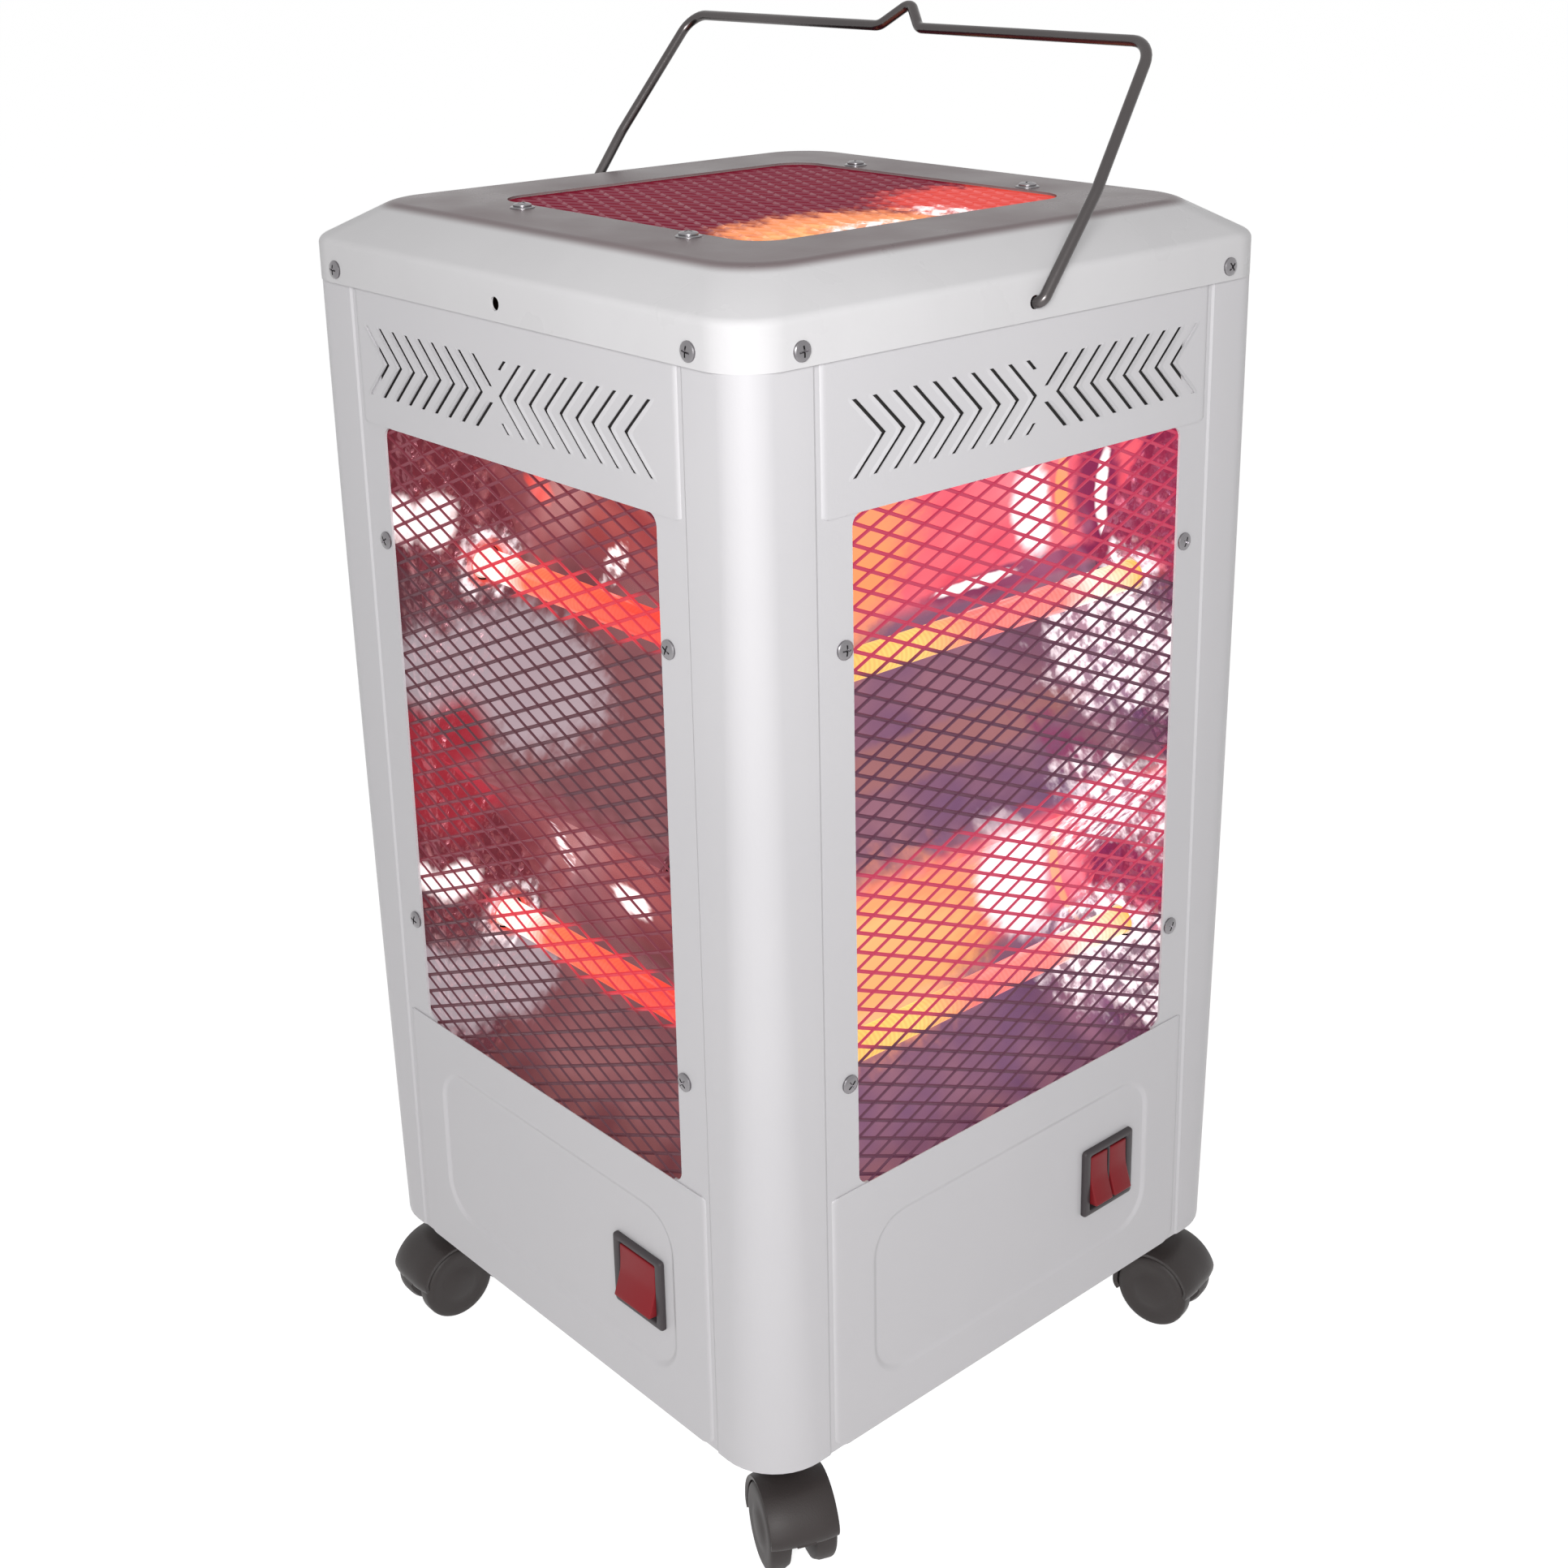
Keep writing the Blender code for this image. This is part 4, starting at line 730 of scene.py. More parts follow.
def lid_enamel_shaded_top():
    """The lid's enamel, with painted shade that darkens its flat top to grey-brown."""
    material, tree, shader = start_material("lid_enamel_shaded_top", Specular_IOR_Level=0.10)
    grain, colour = add_grain(
        tree, shader, 600.0, 22.0, 0.10, ((0.62, 0.61, 0.62), (0.69, 0.68, 0.69)), (0.24, 0.40))
    height = part_of(tree, object_place(tree), 2)
    flat = mapped(tree, height, LID_TOP - 0.0030, LID_TOP - 0.0003, shape='SMOOTHSTEP')
    # Painted shade: the flat top's darker grey-brown stands for the little light that falls on it
    top_shade = blend(tree, grain.outputs["Slow"], (0.14, 0.100, 0.105), (0.24, 0.190, 0.195))
    tree.links.new(blend(tree, flat, colour, top_shade), shader.inputs["Base Color"])
    return material


def lay_patches(tree, warm, patches):
    """Lay painted glare patches over a colour, each as (colour, centre, reach, lean, crinkle)."""
    # Painted glints: crinkled patches sparkle by noise
    glint = mapped(tree, noise_at(tree, object_place(tree), 170.0, 4.0), 0.42, 0.56, 0.12, 1.0)
    for colour, centre, reach, lean, crinkle in patches:
        patch = node(tree, "ShaderNodeGroup", {
            "Centre": centre, "Reach": reach, "Lean": lean, "Crinkle": crinkle}, node_tree=PATCH)
        mask = patch.outputs["Mask"]
        if crinkle > SPARKLING:
            mask = sum_of(tree, 'MULTIPLY', mask, glint)
        warm = blend(tree, mask, warm, colour)
    return warm


def glow_bands(tree, lower_tube, pitch, softness):
    """The mask of the zones above the tubes, where the painted glow goes."""
    bands = node(tree, "ShaderNodeGroup", {
        "Lower Tube": lower_tube, "Pitch": pitch, "Softness": softness}, node_tree=BANDS)
    return bands.outputs["Above"]


def mirror_finish(name, lower_tube, metal, above, below, patches, pitch=TUBE_PITCH):
    """Polished trough, with painted reflections below each tube and painted glow above it."""
    material, tree, shader = start_material(name, Metallic=1.0, Roughness=0.22)
    wave = noise_at(tree, object_place(tree), 26.0, 2.0)
    raise_surface(tree, shader, wave, 0.25, 0.002)
    tree.links.new(blend(tree, wave, *metal), shader.inputs["Base Color"])
    drift = mapped(tree, wave, 0.35, 0.65)
    # Emission colours: painted reflection below each tube, painted glow above it, then painted glare patches
    warm = blend(tree, glow_bands(tree, lower_tube, pitch, 0.07),
                 blend(tree, drift, *below), blend(tree, drift, *above))
    light_up(tree, shader, lay_patches(tree, warm, patches))
    return material


def crinkled_finish(name, lower_tube, metal, above, below, patches, pitch=TUBE_PITCH):
    """Crumpled end plates that throw painted sparks of light, with painted glow and painted glare."""
    material, tree, shader = start_material(name, Metallic=1.0, Roughness=0.28)
    where = object_place(tree)
    folds = node(tree, "ShaderNodeTexVoronoi", {"Vector": where, "Scale": 190.0})
    wave = noise_at(tree, where, 120.0, 4.0)
    raise_surface(tree, shader, sum_of(tree, 'ADD', folds.outputs["Distance"], wave), 0.9, 0.003)
    tree.links.new(blend(tree, wave, *metal), shader.inputs["Base Color"])
    spark = mapped(tree, wave, 0.56, 0.68)
    # Painted sparkle and painted glow: emission from noise and height bands
    warm = blend(tree, glow_bands(tree, lower_tube, pitch, 0.02),
                 blend(tree, spark, *below), blend(tree, spark, *above))
    light_up(tree, shader, lay_patches(tree, warm, patches))
    return material


def tube_finish(name, axis, start, end, colours, strength):
    """Hot quartz: colours drift along the tube and the coil shows as fine rings."""
    material, tree, shader = start_material(name, Roughness=0.18, Base_Color=(0.25, 0.06, 0.04))
    along = part_of(tree, object_place(tree), axis)
    ramp = node(tree, "ShaderNodeValToRGB", {0: mapped(tree, along, start, end)})
    stops = ramp.color_ramp.elements
    while len(stops) < len(colours):
        stops.new(0.5)
    for stop, (place, colour) in zip(stops, colours):
        stop.position = place
        stop.color = (*colour, 1.0)
    coil = sum_of(tree, 'SINE', sum_of(tree, 'MULTIPLY', along, COIL_TURNS))
    rings = mapped(tree, coil, -1.0, 1.0, 0.82, 1.0)
    light_up(tree, shader, blend(tree, 1.0, ramp.outputs[0], rings, 'MULTIPLY'), strength)
    return material


def guard_finish(name, lower_tube, pitch, glow, dull, patches):
    """Dark expanded metal with a painted red glow before the hot zones."""
    material, tree, shader = start_material(name, Metallic=0.75)
    add_grain(tree, shader, 900.0, 40.0, 0.2, ((0.035, 0.018, 0.026), (0.075, 0.045, 0.060)), (0.40, 0.60))
    # Painted glow: red emission bands and patches on the guard, which is no lamp
    warm = blend(tree, glow_bands(tree, lower_tube, pitch, 0.05), dull, glow)
    light_up(tree, shader, lay_patches(tree, warm, patches))
    return material


ENAMEL = plain_finish(
    "grey_enamel", ((0.575, 0.565, 0.585), (0.635, 0.62, 0.635)), (0.30, 0.42), 700.0, 0.10,
    Specular_IOR_Level=0.4)
LID_ENAMEL = lid_enamel_shaded_top()
WIRE_STEEL = plain_finish(
    "wire_steel", ((0.060, 0.054, 0.054), (0.150, 0.138, 0.138)), (0.18, 0.35), 500.0, 0.2, Metallic=1.0)
ZINC = plain_finish(
    "zinc_screw", ((0.16, 0.15, 0.16), (0.34, 0.33, 0.34)), (0.20, 0.38), 1200.0, 0.1, Metallic=1.0)
PAN_STEEL = plain_finish(
    "pan_steel", ((0.42, 0.42, 0.43), (0.52, 0.52, 0.53)), (0.35, 0.5), 300.0, 0.15, Metallic=0.9)
# Near-black steel as painted shade: the sheets behind the louvres and the backs of the troughs and end
# plates
SHADE_BLACK_STEEL = plain_finish(
    "steel_painted_shade", ((0.020, 0.018, 0.018), (0.040, 0.036, 0.036)), (0.50, 0.70), 300.0, 0.15, Metallic=0.5)
HOOD_PLASTIC = plain_finish(
    "black_plastic", ((0.026, 0.021, 0.020), (0.040, 0.032, 0.031)), (0.36, 0.5), 1500.0, 0.25,
    Specular_IOR_Level=0.35)
WHEEL_PLASTIC = plain_finish(
    "wheel_plastic", ((0.026, 0.021, 0.020), (0.038, 0.031, 0.030)), (0.45, 0.6), 1500.0, 0.25,
    Specular_IOR_Level=0.35)
BEZEL_PLASTIC = plain_finish(
    "bezel_plastic", ((0.040, 0.033, 0.036), (0.060, 0.051, 0.055)), (0.40, 0.55), 1500.0, 0.15,
    Specular_IOR_Level=0.3)
ROCKER_RED = plain_finish(
    "rocker_red", ((0.19, 0.012, 0.016), (0.27, 0.018, 0.024)), (0.35, 0.5), 800.0, 0.1,
    Specular_IOR_Level=0.2)
CERAMIC = plain_finish(
    "tube_ceramic", ((0.80, 0.76, 0.68), (0.86, 0.83, 0.76)), (0.5, 0.65), 1200.0, 0.2)


def dress(name, mesh, material, body, slot, *nodes):
    """Add a finished piece that rides on a body and stands for CAD nodes."""
    finishes = material if isinstance(material, tuple) else (material,)
    kinds = [face.material_index for face in mesh.polygons]
    mesh.materials.clear()
    for finish in finishes:
        mesh.materials.append(finish)
    if len(finishes) > 1:
        mesh.polygons.foreach_set("material_index", kinds)
    thing = new_object(name, mesh)
    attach(thing, body)
    if nodes:
        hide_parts(*nodes)
    return thing


def finish_node(name, material):
    """Give a CAD node that stays its own finish."""
    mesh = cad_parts[name].data
    mesh.materials.clear()
    mesh.materials.append(material)


# Posts and panels

def post_path(share):
    """Plan of one post; its corner widens towards the foot, where share is 0."""
    flange = BODY_HALF - FLANGE_DEPTH
    step = BODY_HALF - STEP_INSET
    half = [(FLANGE_EDGE, -flange, 0), (step, -flange, 0), (step + STEP_RUN, -BODY_HALF, 0)]
    mirrored = [(-y, -x, 0) for x, y, z in reversed(half)]
    corner = POST_CORNER_HIGH + (POST_CORNER_LOW - POST_CORNER_HIGH) * (1 - share) ** 2
    fold = FLANGE_DEPTH * 0.4
    corners = [*half, (BODY_HALF, -BODY_HALF, 0), *mirrored]
    path = round_corners(corners, [fold, fold, corner, fold, fold], 10)
    inner = []
    for index, point in enumerate(path):
        before = path[max(index - 1, 0)]
        after = path[min(index + 1, len(path) - 1)]
        first = (point - before).normalized() if index else (after - point).normalized()
        second = (after - point).normalized() if index < len(path) - 1 else first
        along = (first + second).normalized()
        left = Vector((-along.y, along.x, 0))
        inner.append(point + left * POST_GAUGE / max(along.dot(first), 0.5))
    return path + inner[::-1]


def window_webs():
    """Small webs that round the four corners of the window on a post's two faces."""
    outlines = []
    for level, height in ((-1, WINDOW_LOW), (1, WINDOW_HIGH)):
        x, z = FLANGE_EDGE, height
        lap = z + level * WEB_LAP
        outline = [(x, lap)]
        for step in range(7):
            angle = math.radians(90 * step / 6)
            outline.append((x + WINDOW_FILLET * (math.cos(angle) - 1),
                            z + level * WINDOW_FILLET * (math.sin(angle) - 1)))
        outlines.append([*outline, (x - WINDOW_FILLET, lap)])
    flange = BODY_HALF - FLANGE_DEPTH
    front = prisms("webs", outlines, -flange, POST_GAUGE - flange)
    right = placed(front.copy(), Matrix(((0, -1, 0, 0), (-1, 0, 0, 0), (0, 0, 1, 0), (0, 0, 0, 1))))
    return [front, right]


def make_posts():
    """Four corner posts with soft folds and a smooth outer corner."""
    low, high = BASE, POST_BOX[1].z
    for index, name in enumerate(CORNERS):
        bm = bmesh.new()
        levels = []
        for step in range(17):
            ring = post_path(step / 16)
            height = low + (high - low) * step / 16
            levels.append([bm.verts.new((point.x, point.y, height)) for point in ring])
        for lower, upper in zip(levels, levels[1:]):
            bridge(bm, lower, upper)
        for level in (levels[0], levels[-1]):
            last = len(level) - 1
            for here in range(len(level) // 2 - 1):
                bm.faces.new((level[here], level[here + 1], level[last - here - 1], level[last - here]))
        bmesh.ops.recalc_face_normals(bm, faces=bm.faces)
        mesh = join_meshes("post", [mesh_from(bm, "post", 25), *window_webs()])
        placed(mesh, turn(90 * index, 'Z'))
        dress("post_skin_" + name, mesh, ENAMEL, BODY, "grey_enamel", "post_" + name)


def panel_sheet(low, high, low_radius, insets, cutters, gauge=GAUGE):
    """A panel with rolled edges, its inner loops and its holes."""
    half_height = (high - low) / 2
    middle = (high + low) / 2
    outline = rounded_loop(FACE_HALF, half_height, PANEL_HIGH_CORNER, 8, low_radius)
    rings = []
    for run, drop in ROLL_SHARES:
        ring = []
        for x, z, angle in outline:
            side = math.cos(angle)
            depth = ROLL_DROP * drop * (0.3 + 0.7 * abs(side))
            ring.append((x + ROLL_RUN * run * side, depth - BODY_HALF, middle + z))
        rings.append(ring)
    for inset, depth, radius in insets:
        loop = rounded_loop(FACE_HALF - inset, half_height - inset, radius, 8)
        rings.append([(x, depth - BODY_HALF, middle + z) for x, z, angle in loop])
    return solidified(grid_sheet(rings, "panel", True, True), gauge, cutters)


def make_lower_panels():
    """Four pressed panels below the windows, each with a soft recessed field."""
    insets = [(0.0015, 0, PANEL_HIGH_CORNER), (RECESS_MARGIN - 0.0005, 0, RECESS_CORNER)]
    for share in (0.0, 0.15, 0.35, 0.65, 0.85, 1.0):
        inset = RECESS_MARGIN + RECESS_WALL * share
        depth = RECESS_DEPTH * (3 * share ** 2 - 2 * share ** 3)
        insets.append((inset, depth, RECESS_CORNER - RECESS_WALL * share))
    insets.append((RECESS_MARGIN + RECESS_WALL + 0.001, RECESS_DEPTH, RECESS_CORNER - RECESS_WALL - 0.001))
    for side in SIDES:
        place = SWITCH_PLACE[side]
        x, z = SWITCH_CUT_HALF_WIDTH, SWITCH_CUT_HALF_HEIGHT
        level = BASE + SWITCH_RISE
        holes = [rectangle(place - x, level - z, place + x, level + z)]
        if side == "back":
            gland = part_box("cable_gland")
            middle = -(gland[0].x + gland[1].x) / 2
            height = (gland[0].z + gland[1].z) / 2
            angles = [2 * math.pi * step / 24 for step in range(24)]
            holes.append([(middle + GLAND_HOLE * math.cos(angle), height + GLAND_HOLE * math.sin(angle))
                          for angle in angles])
        cutter = prisms("switch_hole", holes, -BODY_HALF - 0.01, 0.01 - BODY_HALF)
        mesh = panel_sheet(BASE, WINDOW_LOW, PANEL_LOW_CORNER, insets, [cutter])
        placed(mesh, side_turn(side))
        dress("lower_skin_" + side, mesh, ENAMEL, BODY, "grey_enamel", "lower_panel_" + side)


def slot_outline(tip, low, high):
    """Outline of one slot arm, or of a whole chevron that spans the middle."""
    heights = [low, high] if low * high > 0 else [low, 0.0, high]
    near = [(tip + abs(z), z) for z in heights]
    return near + [(x + SLOT, z) for x, z in reversed(near)]


def hood_sheet(tip, low, high):
    """The raised hood beside a slot, as one smooth sheet."""
    count = 30 if low * high < 0 else 12
    low, high = low - HOOD_SPARE, high + HOOD_SPARE
    rows = []
    for row in range(count + 1):
        z = low + (high - low) * row / count
        ends = min((z - low) / (3 * HOOD_SPARE), (high - z) / (3 * HOOD_SPARE), 1.0)
        swell = math.sin(ends * math.pi / 2)
        bent = math.sqrt(z * z + HOOD_TIP_RADIUS ** 2) - HOOD_TIP_DROP
        line = []
        for share in HOOD_ACROSS_SHARES:
            x = tip + SLOT * HOOD_START_SHARE + bent + HOOD_WIDTH * share * (0.75 + 0.25 * swell)
            rise = HOOD_RISE * swell * (0.5 + 0.5 * math.cos(math.pi * share))
            line.append((x, -BODY_HALF - rise + HOOD_SINK, z))
        rows.append(line)
    return solidified(grid_sheet(rows, "hood"), HOOD_GAUGE)


def make_vent_panels(row_of):
    """Louvred panels: a slotted sheet and a hood beside every slot."""
    middle = (WINDOW_HIGH + SKIRT_LOW) / 2 - LOUVRE_DROP
    lift = Matrix.Translation((0, 0, middle))
    slots, hoods = [], []
    for pointing, first, pitch, count, near in LOUVRE_GROUPS:
        mirror = Matrix.Diagonal((pointing, 1, 1, 1))
        arms = [(first - pitch, near, LOUVRE_HALF), (first - pitch, -LOUVRE_HALF, -near)]
        row = grown(row_of, hood_sheet(first, -LOUVRE_HALF, LOUVRE_HALF), {
            "Count": count, "Pitch": (pitch, 0, 0), "Finish": ENAMEL})
        hoods.append(placed(row, lift @ mirror))
        hoods += [placed(hood_sheet(*arm), lift @ mirror) for arm in arms]
        arms += [(first + index * pitch, -LOUVRE_HALF, LOUVRE_HALF) for index in range(count)]
        slots += [[(pointing * x, z + middle) for x, z in slot_outline(*arm)] for arm in arms]
    raised = join_meshes("hoods", hoods)
    cutter = prisms("slots", slots, -BODY_HALF - 0.004, 0.004 - BODY_HALF)
    sheet = panel_sheet(WINDOW_HIGH, VENT_BOX[1].z, PANEL_HIGH_CORNER, [(0.0012, 0, 0.0010)], [cutter],
                        VENT_GAUGE)
    for side in SIDES:
        mesh = join_meshes("vent_skin", [sheet.copy(), raised.copy()])
        placed(mesh, Matrix.Diagonal((-1 if side in ("right", "left") else 1, 1, 1, 1)))
        placed(mesh, side_turn(side))
        dress("vent_skin_" + side, mesh, ENAMEL, BODY, "grey_enamel", "vent_panel_" + side)


def make_vent_shields():
    """A near-black sheet close behind the louvres of each vent panel, painted shade seen through the slots.
    """
    low, high = WINDOW_HIGH + SHIELD_LOW_GAP, VENT_BOX[1].z - SHIELD_HIGH_GAP
    outline = rectangle(-SHIELD_HALF, low, SHIELD_HALF, high)
    near = SHIELD_DEPTH - BODY_HALF
    for side in SIDES:
        mesh = prisms("shield", [outline], near, near + SHIELD_GAUGE)
        dress("vent_shield_" + side, placed(mesh, side_turn(side)), SHADE_BLACK_STEEL, BODY, "pan_steel")


# Guards

def strand_mesh():
    """One strand of the expanded metal, wider where it meets its neighbours."""
    length = math.hypot(DIAMOND_LONG, DIAMOND_SHORT) / 2
    bm = bmesh.new()
    rings = []
    tilt = Matrix.Rotation(math.radians(28), 3, 'X')
    for place, width in ((-0.53, 1.25), (-0.36, 0.95), (0.36, 0.95), (0.53, 1.25)):
        ring = []
        for y, z in ((-1, -1), (1, -1), (1, 1), (-1, 1)):
            corner = tilt @ Vector((0, y * width * STRAND_WIDTH / 2, z * STRAND_GAUGE / 2))
            ring.append(bm.verts.new((place * length, corner.y, corner.z)))
        rings.append(ring)
    for outer, inner in zip(rings, rings[1:]):
        bridge(bm, outer, inner)
    bm.faces.new(rings[0])
    bm.faces.new(rings[-1][::-1])
    bmesh.ops.recalc_face_normals(bm, faces=bm.faces)
    return mesh_from(bm, "strand", 40)


def trimmed(mesh, half):
    """Cut a mesh off at both ends of X."""
    bm = bmesh.new()
    bm.from_mesh(mesh)
    for sign in (-1, 1):
        bmesh.ops.bisect_plane(bm, geom=[*bm.verts, *bm.edges, *bm.faces], dist=1e-6,
                               plane_co=(sign * half, 0, 0), plane_no=(sign, 0, 0), clear_outer=True)
        cuts = [edge for edge in bm.edges if edge.is_boundary]
        bmesh.ops.holes_fill(bm, edges=cuts, sides=8)
    bm.to_mesh(mesh)
    bm.free()
    return mesh


def expanded_metal(lattice, columns, rows, finish):
    """A flat field of expanded metal round the origin."""
    return grown(lattice, strand_mesh(), {
        "Columns": int(columns), "Rows": int(rows), "Long Pitch": DIAMOND_LONG,
        "Short Pitch": DIAMOND_SHORT, "Finish": finish})


def make_guards(lattice):
    """Expanded-metal guards behind the windows and under the lid's window."""
    low, high = GUARD_BOX
    middle = (high.z + low.z) / 2
    shift = high.x - GUARD_COLUMNS * DIAMOND_LONG / 2 + DIAMOND_LONG / 2 - 0.0002
    for side in SIDES:
        is_long = side in LONG_SIDES
        unit = LONG_UNIT if is_long else SHORT_UNIT
        glow, dull = LONG_GUARD if is_long else SHORT_GUARD
        # Painted red glow lines on the short sides' guards
        lines = () if is_long else [turned_patch(patch, side) for patch in GUARD_GLOW]
        glow_line = BASE + unit[1] + GLOW_RISE
        finish = guard_finish("guard_steel_" + side, glow_line, GLOW_PITCH, glow, dull, lines)
        mesh = expanded_metal(lattice, GUARD_COLUMNS, (high.z - low.z) / DIAMOND_SHORT, finish)
        far = 1 if is_long else -1
        placed(mesh, Matrix.Translation((far * shift, -GUARD_DEPTH, middle)) @ turn(90, 'X'))
        placed(trimmed(mesh, GUARD_HALF), side_turn(side))
        dress("guard_mesh_" + side, mesh, finish, BODY, "guard_steel", "guard_" + side)
    low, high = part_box("top_guard")
    finish = guard_finish("guard_steel_top", 0, NO_BANDS, TOP_GUARD_GLOW, TOP_GUARD_GLOW, TOP_GLARE)
    mesh = expanded_metal(lattice, (high.x - low.x) / DIAMOND_LONG, (high.y - low.y) / DIAMOND_SHORT, finish)
    placed(mesh, Matrix.Translation((0, 0, (low.z + high.z) / 2)))
    dress("guard_mesh_top", mesh, finish, BODY, "guard_steel", "top_guard")


# Lid and screws

def lid_corner(half):
    """Corner radius of the lid in plan at a given half width."""
    flat = LID_HALF - SLOPE_RUN
    if half > flat:
        return FLAT_CORNER + (SKIRT_CORNER - FLAT_CORNER) * (half - flat) / SLOPE_RUN
    share = max((half - flat + LID_MARGIN) / LID_MARGIN, 0)
    return WINDOW_CORNER + (FLAT_CORNER - WINDOW_CORNER) * share


def make_lid():
    """The pressed lid with soft shoulders, its window and the pivot holes."""
    skirt_high = LID_TOP - SKIRT_HIGH_DROP
    flat = LID_HALF - SLOPE_RUN
    window = flat - LID_MARGIN
    outline = [
        (LID_HALF, 0, SKIRT_LOW), (LID_HALF, 0, skirt_high), (flat, 0, LID_TOP), (window, 0, LID_TOP)]
    profile = round_corners(outline, [0.0045, 0.0090], 6)
    profile.insert(-1, Vector((window + 0.0012, 0, LID_TOP)))
    rows = []
    for point in profile:
        loop = rounded_loop(point.x, point.x, lid_corner(point.x), 12)
        rows.append([(x, y, point.z) for x, y, angle in loop])
    drills = []
    for side in SIDES:
        drill = drill_mesh(PIVOT_HOLE, 0.004, 20)
        place = Matrix.Translation((0, -LID_HALF, PIVOT_HEIGHT))
        drills.append(placed(drill, side_turn(side) @ place @ turn(90, 'X')))
    cutter = join_meshes("drills", drills)
    mesh = solidified(grid_sheet(rows, "lid", True), LID_GAUGE, [cutter], 40)
    dress("lid_skin", mesh, LID_ENAMEL, BODY, "grey_enamel", "lid")


def screw_mesh():
    """A pan-head screw with a cross recess, its seat at the origin."""
    profile = [(0, SCREW_RISE)]
    for step in range(1, 7):
        angle = math.radians(90 - 80 * step / 6)
        profile.append((SCREW_RADIUS * math.cos(angle), 0.0006 + (SCREW_RISE - 0.0006) * math.sin(angle)))
    profile += [(SCREW_RADIUS, 0.0004), (SCREW_RADIUS - 0.0002, -0.0003), (0, -0.0003)]
    head = lathe("screw", profile, 24)
    for long, short in ((SCREW_SLOT_LONG, SCREW_SLOT_SHORT), (SCREW_SLOT_SHORT, SCREW_SLOT_LONG)):
        x, y = long / 2, short / 2
        bar = prisms("bar", [rectangle(-x, -y, x, y)], -0.003, -0.0006)
        head = solidified(head, 0, [placed(bar, turn(-90, 'X'))])
    return head


def washer_mesh():
    """A plain washer with soft edges."""
    profile = [(0.0018, 0.0006), (WASHER_RADIUS - 0.0004, 0.0006), (WASHER_RADIUS, 0.0003),
               (WASHER_RADIUS, -0.0001), (0.0018, -0.0001)]
    return lathe("washer", profile, 32, closed=True)


def set_screws(tree, spots, seed):
    """Screws at the given places of a face that lies flat, its outside up."""
    plan = bpy.data.meshes.new("plan")
    plan.from_pydata([(x, y, 0) for x, y in spots], [], [])
    holder = new_object("plan", plan)
    mesh = grown(tree, screw_mesh(), {"Plan": holder, "Seed": seed, "Finish": ZINC})
    bpy.data.objects.remove(holder)
    return mesh


def make_screws(tree):
    """Screws of the lid's skirt, the post flanges and the lid's top."""
    stand = turn(90, 'X')
    rows = []
    for index, side in enumerate(SIDES):
        for spots, depth in ((SKIRT_SCREWS, LID_HALF), (FLANGE_SCREWS, BODY_HALF - FLANGE_DEPTH)):
            mesh = set_screws(tree, spots, 10 * index + len(spots))
            rows.append(placed(mesh, side_turn(side) @ spot(0, -depth, 0) @ stand))
    mesh = set_screws(tree, LID_SCREWS, 77)
    rows.append(placed(mesh, Matrix.Translation((0, 0, LID_TOP + 0.0005))))
    for x, y in LID_SCREWS:
        rows.append(placed(washer_mesh(), Matrix.Translation((x, y, LID_TOP))))
    dress("case_screws", join_meshes("case_screws", rows), ZINC, BODY, "wire_steel")


# Bail

def make_bail():
    """The bail: one bent wire whose ends sit in the lid's pivot holes."""
    corners = [
        (WIRE_END, 0, 0), (BAIL_LEG, 0, 0), (BAIL_LEG, 0, BAIL_STRAIGHT),
        (BAIL_BAR_HALF, 0, BAIL_REACH), (KINK_HALF, 0, BAIL_REACH), (0, 0, BAIL_REACH + KINK_RISE)]
    mirrored = [(-x, y, z) for x, y, z in reversed(corners[:-1])]
    radii = [0.0032, 0.0300, 0.0110, 0.0060]
    path = round_corners([*corners, *mirrored], [*radii, 0.0040, *reversed(radii)], 8)
    mesh = wire_along(path, WIRE_RADIUS)
    placed(mesh, Matrix.Translation((0, 0, PIVOT_HEIGHT)) @ turn(-BAIL_LEAN, 'X'))
    dress("bail_wire", mesh, WIRE_STEEL, "bail", "wire_steel", "carry_handle")


# Casters

def hood_radius(offset, angle):
    """Outer radius of a caster's hood: a barrel whose free edges roll in."""
    barrel = HOOD_BARREL * abs(offset / HOOD_HALF) ** 3
    edge = min(angle - HOOD_TRAIL, HOOD_LEAD - angle) / HOOD_ROLL_ARC
    roll = HOOD_ROLL * max(1 - edge, 0) ** 2
    return HOOD_RADIUS - barrel - roll


def caster_hood():
    """Hood over both wheels, the web between them and the boss, with the axle along Y."""
    rows = []
    for step in range(41):
        angle = HOOD_TRAIL + (HOOD_LEAD - HOOD_TRAIL) * step / 40
        place = math.radians(angle)
        line = []
        for across in range(17):
            offset = HOOD_HALF * math.sin(math.pi / 2 * (across / 8 - 1))
            radius = hood_radius(offset, angle)
            line.append((radius * math.cos(place), offset, radius * math.sin(place)))
        rows.append(line)
    shell = solidified(grid_sheet(rows, "hood"), HOOD_SHELL, angle=50)
    shell = bevelled(shell, 0.0007)
    half = WHEEL_SPACING / 2 - WHEEL_WIDTH / 2 - WHEEL_GAP
    arc = [math.radians(HOOD_TRAIL + (HOOD_LEAD - HOOD_TRAIL) * step / 30) for step in range(31)]
    radius = HOOD_RADIUS - HOOD_SHELL / 2
    web = prisms("web", [[(radius * math.cos(a), radius * math.sin(a)) for a in arc]], -half, half)
    high = BASE - WHEEL_RADIUS - PAN_GAP
    profile = [(0, high), (BOSS_RADIUS, high), (BOSS_RADIUS, BOSS_LOW), (0, BOSS_LOW)]
    boss = lathe("boss", turned_path(profile, 0.0012), 40)
    placed(boss, Matrix.Translation((-TRAIL, 0, 0)))
    return join_meshes("caster", [shell, web, boss])


